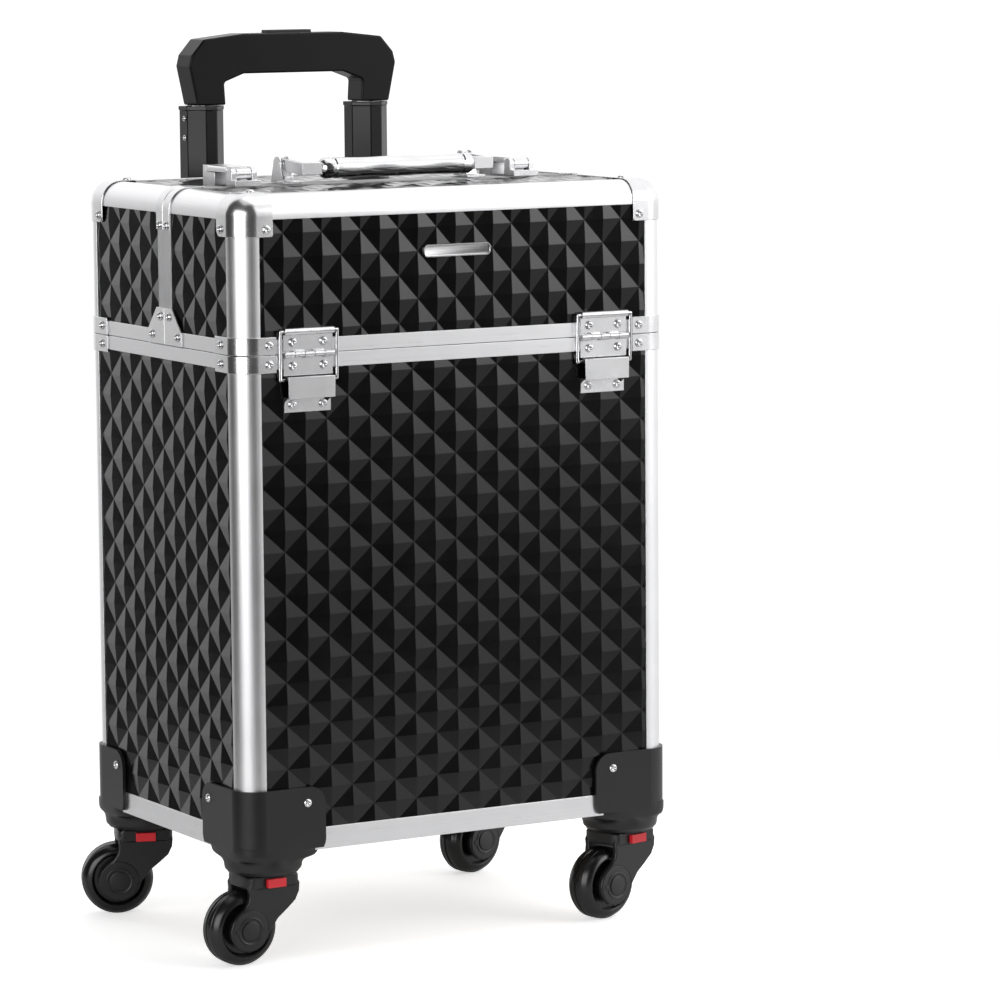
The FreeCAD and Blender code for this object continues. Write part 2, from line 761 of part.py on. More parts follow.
def stay_channels():
    """Pressed bridge that the wire's lower bar slides behind."""
    owner = body("StayChannel")
    out = "channel_face + channel_sheet"
    top = "channel_top + channel_sheet"
    corners = [("-channel_seat", "channel_top"), ("-channel_face", "channel_top"),
               ("-channel_face", "channel_bottom"), ("-channel_seat", "channel_bottom"),
               ("-channel_seat", "channel_bottom - channel_foot"),
               ("-(channel_seat + plate)", "channel_bottom - channel_foot"),
               ("-(channel_seat + plate)", "channel_bottom - channel_sheet"),
               (f"-({out})", "channel_bottom - channel_sheet"), (f"-({out})", top), ("-channel_seat", top)]
    pad(owner, "YZ", "stay_x - channel_width / 2", "stay_x + channel_width / 2", corners)
    node("stay_channels", both_sides("StayChannels", owner))


def stay_wires():
    """Wire loop: top bar in the upper leaf's roll, bottom bar in the channel."""
    half = "wire_width / 2"
    height = "sqrt((roll_z - wire_z)^2 + (roll_y - wire_y)^2)"
    pieces = []
    for name, x in (("LegA", f"-{half}"), ("LegB", half)):
        pieces.append(rod("Wire" + name, "z", (x, 0, 0), height, "wire_radius"))
        pieces.append(ball("Wire" + name + "Low", (x, 0, 0), "wire_radius"))
        pieces.append(ball("Wire" + name + "High", (x, 0, height), "wire_radius"))
    pieces.append(rod("WireLow", "x", (f"-{half}", 0, 0), "wire_width", "wire_radius"))
    pieces.append(rod("WireHigh", "x", (f"-{half}", 0, height), "wire_width", "wire_radius"))
    loop = fuse("WireLoop", *pieces)
    loop.Placement = FreeCAD.Placement(V(), FreeCAD.Rotation(V(1, 0, 0), 0))
    bind(loop, **{"Placement.Rotation.Angle": "atan((wire_y - roll_y) / (roll_z - wire_z))"})
    move(loop, "stay_x", "wire_y", "wire_z")
    node("stay_wires", both_sides("StayWires", loop))


# Casters and their housings

def housing(name, reach_y):
    """Corner cup of two side plates and a bottom plate, with a round neck for the swivel stem."""
    block = body(name + "Block")
    x = ("half_x - housing_reach_x", "housing_face_x")
    y = (f"half_y - {reach_y}", "housing_face_y")
    base = pad(block, "XY", "housing_low", "housing_high", rectangle(x, y))
    bend = fillet(block, base, "corner_radius + housing_wall", outer_upright)
    fillet(block, bend, "housing_round",
           lambda edge, span: (runs_along(edge, "y") and edge.CenterOfMass.x < span.XMin + 0.01)
           or (runs_along(edge, "x") and edge.CenterOfMass.y < span.YMin + 0.01))
    core = body(name + "Core")
    base = pad(core, "XY", "base_z", "housing_high + plate",
               rectangle(("half_x - housing_reach_x - plate", "half_x"),
                         (f"half_y - {reach_y} - plate", "half_y")))
    fillet(core, base, "corner_radius", outer_upright)
    axis = ("swivel_x", "swivel_y")
    rim = cone(name + "Rim", (*axis, "neck_low"), "neck_chamfer", "neck_radius - neck_chamfer", "neck_radius")
    neck = rod(name + "Neck", "z", (*axis, "neck_low + neck_chamfer"), "base_z - neck_low - neck_chamfer",
               "neck_radius")
    flare = cone(name + "Flare", (*axis, "housing_low - neck_flare_height"), "neck_flare_height",
                 "neck_radius", "neck_flare_radius")
    limit = box(name + "Limit", x, y, ("neck_low", "base_z"))
    foot = fuse(name + "Foot", rim, neck, common(name + "FlareCut", flare, limit))
    bore = rod(name + "Bore", "z", (*axis, "neck_low - 1"), "stem_top + stem_end_gap - neck_low + 1",
               "stem_radius + pin_clearance")
    return cut(name, fuse(name + "Shell", cut(name + "Cup", block, core), foot), bore)


def housings():
    front = mirror(housing("HousingFront", "housing_reach_front"), "y")
    rear = housing("HousingRear", "housing_reach_rear")
    node("caster_housings", group("Housings", front, mirror(front, "x"), rear, mirror(rear, "x")))


def fork(name):
    """Swivel fork along +X: round crown with its stem, two arms, the axle and its caps."""
    crown = rod(name + "Crown", "z", (0, 0, "crown_low"), "crown_height", "crown_radius")
    stem = rod(name + "Stem", "z", (0, 0, "crown_top"), "stem_height", "stem_radius")
    roof = box(name + "Roof", ("-0.85 * crown_radius", "trail + 8"), ("-fork_outer", "fork_outer"),
               ("crown_low", "crown_top - 0.5"))
    owner = body(name + "Arms")
    reach = "trail + arm_end_radius"
    corners = [("-0.85 * crown_radius", "crown_low"), ("-0.85 * crown_radius", "crown_top - 0.5"),
               ("trail + 8", "crown_top - 0.5"), (reach, "crown_low - 5"), (reach, "wheel_radius"),
               ("trail - arm_end_radius", "wheel_radius")]
    pad(owner, "XZ", "fork_inner", "fork_outer", corners)
    end = rod(name + "ArmEnd", "y", ("trail", "fork_inner", "wheel_radius"), "arm_thickness", "arm_end_radius")
    cap = rod(name + "AxleCap", "y", ("trail", "fork_outer", "wheel_radius"), "axle_cap_height",
              "axle_cap_radius")
    arm = fuse(name + "Arm", owner, end, cap)
    axle = rod(name + "Axle", "y", ("trail", "-fork_inner", "wheel_radius"), "2 * fork_inner", "axle_radius")
    whole = fuse(name + "Whole", crown, stem, roof, arm, mirror(arm, "y"), axle)
    side = "release_width / 2 + release_clearance"
    seat = box(name + "Seat", (f"-({side})", side),
               ("crown_radius - release_depth - release_travel - release_clearance", "crown_radius + 5"),
               ("release_low - release_clearance", "release_low + release_height + release_clearance"))
    return cut(name, whole, seat)


def wheel(name):
    """Caster wheel with a rounded tread and recessed discs, on its own bore."""
    owner = body(name)
    half = "wheel_width / 2"
    base = pad(owner, "XZ", f"-({half})", half, ("trail", "wheel_radius", "wheel_radius"),
               ("trail", "wheel_radius", "axle_radius + pin_clearance"))
    fillet(owner, base, "tread_round", lambda edge, span: edge.BoundBox.XLength > span.XLength * 0.9
           and edge.BoundBox.YLength < 0.01)
    rings = (("trail", "wheel_radius", "wheel_rim_inner"), ("trail", "wheel_radius", "hub_radius"))
    pocket(owner, "XZ", f"{half} - wheel_recess", half, *rings)
    pocket(owner, "XZ", f"-({half})", f"wheel_recess - {half}", *rings)
    return owner


def casters():
    """Four forks, wheels and release buttons, each turned about its swivel axis as it stands."""
    places = {
        "front_left": ("-swivel_x", "-swivel_y"), "front_right": ("swivel_x", "-swivel_y"),
        "rear_left": ("-swivel_x", "swivel_y"), "rear_right": ("swivel_x", "swivel_y"),
    }
    for corner, (x, y) in places.items():
        short = "".join(word.title() for word in corner.split("_"))
        release = box("Release" + short, ("-release_width / 2", "release_width / 2"),
                      ("crown_radius - release_depth", "crown_radius"),
                      ("release_low", "release_low + release_height"))
        pieces = {"fork": fork("Fork" + short), "wheel": wheel("Wheel" + short), "release": release}
        for kind, item in pieces.items():
            placed = group(f"{kind}{short}Placed", item)
            placed.Placement = FreeCAD.Placement(V(), FreeCAD.Rotation(V(0, 0, 1), 0))
            bind(placed, **{"Placement.Rotation.Angle": "yaw_" + corner})
            node(f"caster_{kind}_{corner}", move(placed, x, y, 0))


# Telescopic handle

def tube_outline(inset):
    """Tube section around the right-hand tube's axis, drawn in by an inset: chamfered in front."""
    half = f"(tube_width / 2 - ({inset}))"
    front = f"(tube_front + ({inset}))"
    back = f"(tube_back - ({inset}))"
    slope = f"(tube_chamfer - ({inset}) * (2 - sqrt(2)))"
    return [(f"trolley_x - {half}", f"{front} + {slope}"), (f"trolley_x - {half} + {slope}", front),
            (f"trolley_x + {half} - {slope}", front), (f"trolley_x + {half}", f"{front} + {slope}"),
            (f"trolley_x + {half}", back), (f"trolley_x - {half}", back)]


def tube(name, inset, wall, low, high):
    owner = body(name)
    pad(owner, "XY", low, high, tube_outline(inset), tube_outline(f"{inset} + {wall}"))
    return owner


def trolley_tubes():
    outer = tube("OuterTube", "0", "tube_wall", "tube_foot_z", "tube_top_z")
    node("trolley_outer_tubes", both_sides("OuterTubes", outer))
    bush = tube("TubeBush", "-bush_overhang", "bush_overhang + tube_wall + stage_gap - bush_clearance",
                "tube_top_z", "tube_top_z + bush_height")
    node("trolley_bushes", both_sides("TubeBushes", bush))
    inner = tube("InnerTube", "tube_wall + stage_gap", "stage_wall", "inner_foot_z", "grip_low")
    node("trolley_inner_tubes", both_sides("InnerTubes", inner))


def trolley_mounts():
    """Foot block under the tubes and a clamp around them, both on the lower case's back."""
    reach = "trolley_x + tube_width / 2 + foot_margin"
    foot = box("TrolleyFoot", (f"-({reach})", reach), ("half_y", "tube_back"),
               ("tube_foot_z - foot_height", "tube_foot_z"))
    z = ("clamp_z - clamp_height / 2", "clamp_z + clamp_height / 2")
    inside = "trolley_x - tube_width / 2"
    middle = box("ClampMiddle", (f"-({inside})", inside), ("half_y - skin", "tube_back + clamp_strap"), z)
    strap = box("ClampStrap", (f"-({reach})", reach), ("tube_back", "tube_back + clamp_strap"), z)
    node("trolley_clamps", group("TrolleyClamps", foot, fuse("Clamp", middle, strap)))


def trolley_grip():
    """Arched grip over both inner tubes, with a well for its push button."""
    owner = body("TrolleyGrip")
    out = "trolley_x + grip_leg_width / 2"
    inside = "trolley_x - grip_leg_width / 2"
    half = [(out, "grip_low"), ("grip_shoulder_x", "grip_shoulder_z - 5"),
            ("grip_shoulder_x - 2", "grip_shoulder_z + 3"), ("trolley_x + 5", "grip_top_z - 3.6"),
            ("0.6 * trolley_x", "grip_top_z")]
    under = [("0.6 * trolley_x", "grip_opening_z"), (inside, "grip_opening_z - 6"),
             (f"{inside} - 1", "grip_low")]
    other = [(f"-({x})", z) for x, z in reversed(half)]
    other_under = [(f"-({x})", z) for x, z in reversed(under)]
    corners = half + other + [other_under[0], other_under[1], other_under[2]] + under
    pad(owner, "XZ", "tube_front", "tube_back", corners)
    length = "button_length / 2 + button_clearance"
    width = "button_width / 2 + button_clearance"
    well = pocket(owner, "XY", "button_low - button_travel - button_clearance", "grip_top_z + 1",
                  rectangle((f"-({length})", length), (f"tube_middle - ({width})", f"tube_middle + {width}")))
    fillet(owner, well, "grip_round",
           lambda edge, span: runs_along(edge, "y") and edge.Length > span.YLength * 0.9
           and edge.CenterOfMass.z > span.ZMin + 1)
    node("trolley_grip", owner)


def trolley_button():
    owner = body("TrolleyButton")
    base = pad(owner, "XY", "button_low", "grip_top_z + button_rise",
               rectangle(("-button_length / 2", "button_length / 2"),
                         ("tube_middle - button_width / 2", "tube_middle + button_width / 2")))
    fillet(owner, base, "button_clearance * 5", upright)
    node("trolley_button", owner)


# Carry handle

def handle_lugs():
    """Forked lugs with their pins; each foot is riveted to the front strip only."""
    x = ("handle_x - lug_width / 2", "handle_x + lug_width / 2")
    low = "crest_z + lug_lift"
    owner = body("LugPlate")
    back = "handle_pivot_y + lug_depth / 2"
    front = "handle_pivot_y - lug_depth / 2"
    corners = [(front, low), (back, low), ("handle_pivot_y + lug_round", "pivot_z"),
               ("handle_pivot_y - lug_round", "pivot_z")]
    pad(owner, "YZ", *x, corners)
    top = rod("LugTop", "x", (x[0], "handle_pivot_y", "pivot_z"), "lug_width", "lug_round")
    slot = box("LugSlot", ("arm_inner_x - handle_side_clearance", "arm_outer_x + handle_side_clearance"),
               (f"{front} - 1", f"{back} + 1"), ("pivot_z - lug_round - 2.5", "pivot_z + lug_round + 1"))
    pin = rod("LugPin", "x", (x[0], "handle_pivot_y", "pivot_z"), "lug_width", "handle_pin_radius")
    foot = box("LugFoot", ("handle_x - lug_foot_width / 2", "handle_x + lug_foot_width / 2"),
               ("-(front_inner + strip_depth)", "-front_inner"), ("crest_z", f"{low} + 1.3"))
    lug = fuse("Lug", cut("LugFork", fuse("LugBlock", owner, top), slot), pin, foot)
    node("handle_lugs", both_sides("HandleLugs", lug))


def handle_arms():
    """Arms from the lug pins forward to the elbows that hold the grip bar."""
    x = ("arm_inner_x", "arm_outer_x")
    boss = rod("ArmBoss", "x", (x[0], "handle_pivot_y", "pivot_z"), "arm_outer_x - arm_inner_x",
               "handle_boss_radius")
    owner = body("ArmBar")
    corners = [("handle_pivot_y", "pivot_z - handle_boss_radius * 0.8"),
               ("handle_pivot_y", "pivot_z + handle_boss_radius * 0.9"),
               ("grip_bar_y", "handle_rest_z + elbow_height / 2"),
               ("grip_bar_y", "handle_rest_z - elbow_height / 2")]
    pad(owner, "YZ", *x, corners)
    elbow = box("Elbow", ("grip_bar_length / 2", "arm_outer_x"),
                ("grip_bar_y - elbow_depth / 2", "grip_bar_y + elbow_depth / 2"),
                ("handle_rest_z - elbow_height / 2", "handle_rest_z + elbow_height / 2"))
    bore = rod("ArmBore", "x", (f"{x[0]} - 1", "handle_pivot_y", "pivot_z"), "arm_outer_x - arm_inner_x + 2",
               "handle_pin_radius + pin_clearance")
    node("handle_arms", both_sides("HandleArms", cut("Arm", fuse("ArmWhole", boss, owner, elbow), bore)))


def handle_grip():
    owner = body("HandleGrip")
    base = pad(owner, "YZ", "-grip_bar_length / 2", "grip_bar_length / 2",
               ("grip_bar_y", "handle_rest_z", "grip_bar_radius"))
    fillet(owner, base, "grip_bar_round", lambda edge, span: edge.BoundBox.XLength < 0.01)
    node("handle_grip", owner)


# Top latches

def latch_bases():
    """Hinge bases on the front strip: two knuckles that hold the pin."""
    left = "latch_x - latch_width / 2"
    right = "latch_x + latch_width / 2"
    inner = "latch_knuckle_width / 2 + latch_side_clearance"
    back = "-(front_inner + 1)"
    top = "latch_pin_z - latch_knuckle_radius - latch_side_clearance"
    pieces = [box("LatchBase", (left, right), ("latch_front_y", back), ("crest_z", top))]
    for side, low, high in (("A", left, f"latch_x - ({inner})"), ("B", f"latch_x + {inner}", right)):
        pieces.append(rod("LatchKnuckle" + side, "x", (low, "latch_pin_y", "latch_pin_z"),
                          f"({high}) - ({low})", "latch_knuckle_radius"))
        pieces.append(box("LatchCheek" + side, (low, high),
                          ("latch_pin_y - latch_knuckle_radius", "latch_pin_y + latch_knuckle_radius"),
                          (top, "latch_pin_z")))
    pieces.append(rod("LatchPin", "x", (left, "latch_pin_y", "latch_pin_z"), "latch_width", "latch_pin_radius"))
    node("latch_hinge_bases", both_sides("LatchBases", fuse("LatchBaseWhole", *pieces)))


def latch_hasps():
    """Hasps that swing on the base pins and reach back over the split, with a short tongue."""
    left = "latch_x - latch_width / 2"
    right = "latch_x + latch_width / 2"
    knuckle = ("latch_x - latch_knuckle_width / 2", "latch_x + latch_knuckle_width / 2")
    top = "hasp_z + hasp_thickness"
    clear = "latch_pin_y + latch_knuckle_radius + latch_side_clearance"
    owner = body("HaspPlate")
    base = pad(owner, "XY", "hasp_z", top, rectangle((left, right), (clear, "hasp_back_y")))
    fillet(owner, base, "hasp_thickness * 0.45",
           lambda edge, span: runs_along(edge, "y") and span.ZMax - edge.CenterOfMass.z < 0.01)
    neck = box("HaspNeck", knuckle, ("latch_pin_y", f"{clear} + 1"), ("hasp_z", "latch_pin_z + latch_knuckle_radius"))
    barrel = rod("HaspBarrel", "x", (knuckle[0], "latch_pin_y", "latch_pin_z"), "latch_knuckle_width",
                 "latch_knuckle_radius")
    tongue = box("HaspTongue", ("latch_x - tongue_width / 2", "latch_x + tongue_width / 2"),
                 ("tongue_y", "tongue_y + tongue_length"), ("hasp_z - tongue_depth", "hasp_z + 1"))
    bore = rod("HaspBore", "x", (knuckle[0], "latch_pin_y", "latch_pin_z"), "latch_knuckle_width",
               "latch_pin_radius + pin_clearance")
    hasp = cut("Hasp", fuse("HaspWhole", owner, neck, barrel, tongue), bore)
    node("latch_hasp_right", group("HaspRight", hasp))
    node("latch_hasp_left", mirror(hasp, "x"))


def latch_locks():
    """Lock bodies on the rear top panel, with a slot for the tongue, and plates below the panel."""
    x = ("latch_x - latch_width / 2", "latch_x + latch_width / 2")
    block = box("LockBlock", x, ("lock_front_y", "lock_back_y"), ("crest_z - skin", "lock_top"))
    slot = box("LockSlot", ("latch_x - tongue_width / 2 - 0.5", "latch_x + tongue_width / 2 + 0.5"),
               ("tongue_y - slot_clearance", "tongue_y + tongue_length + 0.5"),
               ("hasp_z - tongue_depth - 0.4", "lock_top + 1"))
    back = box("LockBack", x, ("hasp_back_y + 0.6", "lock_back_y"), ("lock_top", "hasp_z + hasp_thickness"))
    node("latch_lock_bodies", both_sides("LockBodies", cut("LockBody", fuse("LockWhole", block, back), slot)))
    tie = box("TiePlate", (f"{x[0]} - tie_margin", f"{x[1]} + tie_margin"),
              ("lock_front_y", "lock_back_y"), ("crest_z - web - lining - tie_plate", "crest_z - web - lining"))
    node("rear_tie_plates", both_sides("TiePlates", tie))


def name_plate():
    """Bare plate on the front half's front panel."""
    owner = body("NamePlate")
    half = "plate_width / 2"
    base = pad(owner, "XZ", "-(half_y - skin + plate_depth)", "skin - half_y",
               rectangle((f"-{half}", half), ("plate_z - plate_height / 2", "plate_z + plate_height / 2")))
    fillet(owner, base, "plate", lambda edge, span: runs_along(edge, "y"))
    node("name_plate", owner)


# Rivets

def body_rivets():
    """Every rivet on the lower case, the rear half and the tubes."""
    seat_x = "half_x + plate"
    seat_y = "half_y + plate"
    low_z = "lower_top - rivet_seam_drop"
    front = [
        rivet("LowSeamFrontY", "y", "edge_x - 8", seat_y, low_z),
        rivet("LowSeamFrontX", "x", seat_x, "edge_y - 10.5", low_z),
        rivet("HousingFrontY", "y", "half_x - housing_reach_x + housing_rivet_inset", "housing_face_y",
              "housing_rivet_z"),
        rivet("HousingFrontX", "x", "housing_face_x", "half_y - housing_reach_front + housing_rivet_inset - 4",
              "housing_rivet_z"),
    ]
    for side, shift in (("A", "- stay_rivet_x"), ("B", "+ stay_rivet_x")):
        front.append(rivet("LeafRivet" + side, "y", f"stay_x {shift}", seat_y, "seam_z - lower_leaf_rivet_drop"))
        front.append(rivet("ChannelRivet" + side, "y", f"stay_x {shift}", "channel_seat + plate",
                           "channel_bottom - channel_foot + channel_rivet_rise"))
    rear = [
        rivet("LowSeamRearY", "y", "edge_x - 8", seat_y, low_z),
        rivet("LowSeamRearX", "x", seat_x, "edge_y - 10.5", low_z),
        rivet("HousingRearY", "y", "half_x - housing_reach_x + housing_rivet_inset", "housing_face_y",
              "housing_rivet_z"),
        rivet("HousingRearX", "x", "housing_face_x", "half_y - housing_reach_rear + housing_rivet_inset - 4",
              "housing_rivet_z"),
    ]
    rear += half_rivets("rear")
    tube_side = "trolley_x + tube_width / 2"
    rear += [rivet(f"TubeRivet{number}", "x", tube_side, "tube_middle + 3", f"tube_top_z - {drop}", small=True)
             for number, drop in enumerate((6, 20))]
    front_set = mirror(group("FrontLowRivets", *front), "y")
    rear_set = group("RearRivetSet", *rear)
    node("body_rivets", both_sides("BodyRivets", front_set, rear_set))


def front_rivets():
    items = half_rivets("front")
    for side, shift in (("A", "- stay_rivet_x"), ("B", "+ stay_rivet_x")):
        items.append(rivet("HighLeafRivet" + side, "y", f"stay_x {shift}", "half_y + plate",
                           "seam_z + upper_leaf_rivet_rise"))
    node("front_rivets", both_sides("FrontRivets", mirror(group("FrontRivetSet", *items), "y")))


def build():
    lower_walls()
    lower_floor()
    lower_frame()
    lower_lining()
    for half in ("rear", "front"):
        half_panels(half)
        half_frame(half)
        half_strip(half)
        half_brackets(half)
        half_lining(half)
    stay_leaves()
    stay_channels()
    stay_wires()
    housings()
    casters()
    trolley_tubes()
    trolley_mounts()
    trolley_grip()
    trolley_button()
    handle_lugs()
    handle_arms()
    handle_grip()
    latch_bases()
    latch_hasps()
    latch_locks()
    name_plate()
    body_rivets()
    front_rivets()


def check():
    """Stop before anything is written if a feature failed or a piece has no sound shape."""
    failed = [item.Name for item in doc.Objects if {"Invalid", "Error"} & set(item.State)]
    failed += [label for label, item in nodes.items()
               if item.Shape.isNull() or not item.Shape.isValid() or not item.Shape.Solids]
    if failed:
        raise RuntimeError("failed: " + ", ".join(failed))


def write():
    os.makedirs("parts", exist_ok=True)
    for label, item in sorted(nodes.items()):
        item.Shape.exportStep(f"parts/{label}.step")
        print(label, len(item.Shape.Solids), round(item.Shape.Volume))


build()
doc.recompute()
check()
write()
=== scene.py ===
"""Looks of the rolling makeup case: diamond-embossed black panels in an aluminium frame."""
import bmesh
import bpy
import json
import math
from mathutils import Matrix, Vector

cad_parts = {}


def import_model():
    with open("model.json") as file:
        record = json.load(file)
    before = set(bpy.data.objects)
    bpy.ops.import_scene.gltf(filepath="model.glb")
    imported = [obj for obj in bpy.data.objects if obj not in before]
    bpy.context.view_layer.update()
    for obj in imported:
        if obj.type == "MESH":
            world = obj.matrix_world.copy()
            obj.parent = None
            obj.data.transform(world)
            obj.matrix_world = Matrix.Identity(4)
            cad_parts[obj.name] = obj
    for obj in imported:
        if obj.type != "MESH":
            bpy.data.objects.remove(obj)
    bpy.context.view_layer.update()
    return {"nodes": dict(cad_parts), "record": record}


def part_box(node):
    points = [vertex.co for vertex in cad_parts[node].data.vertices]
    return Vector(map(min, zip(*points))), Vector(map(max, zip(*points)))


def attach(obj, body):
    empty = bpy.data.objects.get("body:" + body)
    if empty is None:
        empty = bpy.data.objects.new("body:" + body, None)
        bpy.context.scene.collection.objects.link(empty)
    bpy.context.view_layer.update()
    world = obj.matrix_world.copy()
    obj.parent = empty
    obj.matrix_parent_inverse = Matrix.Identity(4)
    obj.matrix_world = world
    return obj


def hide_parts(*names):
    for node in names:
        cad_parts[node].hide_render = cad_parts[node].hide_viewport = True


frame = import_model()
BODIES = frame["record"]["behaviour"]["bodies"]
BODY_OF = {node: body for body, members in BODIES.items() for node in members}
MM = 0.001


# Material nodes

def put(tree, kind, plugs=None, **settings):
    """Add a node with its settings, and its inputs as numbers or as links."""
    item = tree.nodes.new(kind)
    for name, value in settings.items():
        setattr(item, name, value)
    for name, value in (plugs or {}).items():
        if isinstance(value, bpy.types.NodeSocket):
            tree.links.new(value, item.inputs[name])
        else:
            item.inputs[name].default_value = value
    return item


def maths(tree, operation, *values):
    return put(tree, "ShaderNodeMath", dict(enumerate(values)), operation=operation).outputs[0]


def effect_tree(name, inputs, outputs):
    """A shader node group with named inputs and outputs."""
    tree = bpy.data.node_groups.new(name, "ShaderNodeTree")
    for label, kind, value in inputs:
        socket = tree.interface.new_socket(label, in_out="INPUT", socket_type=kind)
        if value is not None:
            socket.default_value = value
    for label in outputs:
        tree.interface.new_socket(label, in_out="OUTPUT", socket_type="NodeSocketFloat")
    return tree, tree.nodes.new("NodeGroupInput").outputs, tree.nodes.new("NodeGroupOutput").inputs


def drawn_lines():
    """Fine lines along one direction with slow smudges, as on drawn or brushed metal."""
    tree, given, out = effect_tree("Drawn Lines", [
        ("Vector", "NodeSocketVector", None), ("Stretch", "NodeSocketVector", (1, 1, 1)),
        ("Roughness", "NodeSocketFloat", 0.3), ("Streaks", "NodeSocketFloat", 0.1),
        ("Smudges", "NodeSocketFloat", 0.1)], ["Roughness", "Height", "Tone"])
    lines = put(tree, "ShaderNodeVectorMath", {0: given["Vector"], 1: given["Stretch"]},
                operation="MULTIPLY")
    streak = put(tree, "ShaderNodeTexNoise", {"Vector": lines.outputs[0], "Scale": 1.0, "Detail": 4.0,
                                              "Roughness": 0.65}).outputs[0]
    cloud = put(tree, "ShaderNodeTexNoise", {"Vector": given["Vector"], "Scale": 34.0,
                                             "Detail": 3.0}).outputs[0]
    streaky = maths(tree, "SUBTRACT", streak, 0.5)
    cloudy = maths(tree, "SUBTRACT", cloud, 0.5)
    rough = maths(tree, "MULTIPLY_ADD", streaky, given["Streaks"], given["Roughness"])
    rough = maths(tree, "MULTIPLY_ADD", cloudy, given["Smudges"], rough)
    tree.links.new(rough, out["Roughness"])
    tree.links.new(streak, out["Height"])
    tone = maths(tree, "MULTIPLY_ADD", streak, 0.6, maths(tree, "MULTIPLY", cloud, 0.4))
    tree.links.new(tone, out["Tone"])
    return tree


def moulded_skin():
    """Fine pebble of a moulded surface with slow patches of gloss."""
    tree, given, out = effect_tree("Moulded Skin", [
        ("Vector", "NodeSocketVector", None), ("Pebble Scale", "NodeSocketFloat", 2500.0),
        ("Roughness", "NodeSocketFloat", 0.35), ("Spread", "NodeSocketFloat", 0.1)],
        ["Roughness", "Height", "Tone"])
    pebble = put(tree, "ShaderNodeTexVoronoi", {
        "Vector": given["Vector"], "Scale": given["Pebble Scale"]},
        feature="SMOOTH_F1").outputs["Distance"]
    patch = put(tree, "ShaderNodeTexNoise", {"Vector": given["Vector"], "Scale": 26.0,
                                             "Detail": 4.0}).outputs[0]
    spread = maths(tree, "MULTIPLY", maths(tree, "SUBTRACT", patch, 0.5), given["Spread"])
    tree.links.new(maths(tree, "ADD", given["Roughness"], spread), out["Roughness"])
    tree.links.new(pebble, out["Height"])
    tone = maths(tree, "MULTIPLY_ADD", patch, 0.7, maths(tree, "MULTIPLY", pebble, 0.3))
    tree.links.new(tone, out["Tone"])
    return tree


def cloth_pile():
    """Short directional pile of a flocked lining."""
    tree, given, out = effect_tree("Cloth Pile", [
        ("Vector", "NodeSocketVector", None), ("Fibre Scale", "NodeSocketFloat", 900.0),
        ("Roughness", "NodeSocketFloat", 0.85), ("Nap", "NodeSocketFloat", 0.3)],
        ["Roughness", "Height", "Tone"])
    fibre = put(tree, "ShaderNodeTexNoise", {"Vector": given["Vector"], "Scale": given["Fibre Scale"],
                                             "Detail": 3.0, "Roughness": 0.7}).outputs[0]
    nap = put(tree, "ShaderNodeTexNoise", {"Vector": given["Vector"], "Scale": 18.0, "Detail": 5.0,
                                           "Distortion": 1.2}).outputs[0]
    mixed = maths(tree, "MULTIPLY_ADD", maths(tree, "SUBTRACT", nap, 0.5), given["Nap"], fibre)
    tree.links.new(maths(tree, "MULTIPLY_ADD", fibre, 0.1, given["Roughness"]), out["Roughness"])
    tree.links.new(fibre, out["Height"])
    tree.links.new(mixed, out["Tone"])
    return tree


DRAWN, MOULDED, PILE = drawn_lines(), moulded_skin(), cloth_pile()


def finish_of(name, dark, light, effect, settings, height, **surface):
    """A material: two close colours, an effect group for roughness and relief, and fixed values."""
    material = bpy.data.materials.new(name)
    material.use_nodes = True
    tree = material.node_tree
    tree.nodes.clear()
    place = put(tree, "ShaderNodeTexCoord").outputs["Object"]
    group = put(tree, "ShaderNodeGroup", node_tree=effect)
    tree.links.new(place, group.inputs["Vector"])
    for label, value in settings.items():
        group.inputs[label].default_value = value
    ramp = put(tree, "ShaderNodeMapRange", {"Value": group.outputs["Tone"], "From Min": 0.3,
                                            "From Max": 0.7})
    colour = put(tree, "ShaderNodeMixRGB", {
        "Fac": ramp.outputs[0], "Color1": (*dark, 1), "Color2": (*light, 1)})
    strength, distance = height
    bump = put(tree, "ShaderNodeBump", {"Height": group.outputs["Height"], "Strength": strength,
                                        "Distance": distance * MM})
    shader = put(tree, "ShaderNodeBsdfPrincipled", {
        "Base Color": colour.outputs[0], "Roughness": group.outputs["Roughness"],
        "Normal": bump.outputs[0]})
    for label, value in surface.items():
        shader.inputs[label.replace("_", " ")].default_value = value
    put(tree, "ShaderNodeOutputMaterial", {"Surface": shader.outputs[0]})
    return material


def grey(value):
    """A grey that is a trace blue, as neutral metals and plastics are."""
    return (value, value, value * 1.015)


UPRIGHT = (1500, 1500, 9)  # lines along Z
LEVEL = (9, 9, 1500)       # lines along X and Y
panel_black = finish_of("embossed_gloss_black", grey(0.002), grey(0.004), MOULDED,
                        {"Pebble Scale": 1400, "Roughness": 0.17, "Spread": 0.12}, (0.05, 0.05),
                        Specular_IOR_Level=0.38)
post_metal = finish_of("anodised_upright", grey(0.80), grey(0.87), DRAWN,
                       {"Stretch": UPRIGHT, "Roughness": 0.40, "Streaks": 0.14, "Smudges": 0.06},
                       (0.10, 0.02), Metallic=1.0)
strip_metal = finish_of("anodised_strip", grey(0.30), grey(0.40), DRAWN,
                        {"Stretch": UPRIGHT, "Roughness": 0.34, "Streaks": 0.14, "Smudges": 0.06},
                        (0.10, 0.02), Metallic=1.0)
rail_metal = finish_of("anodised_level", grey(0.80), grey(0.87), DRAWN,
                       {"Stretch": LEVEL, "Roughness": 0.30, "Streaks": 0.14, "Smudges": 0.06},
                       (0.10, 0.02), Metallic=1.0)
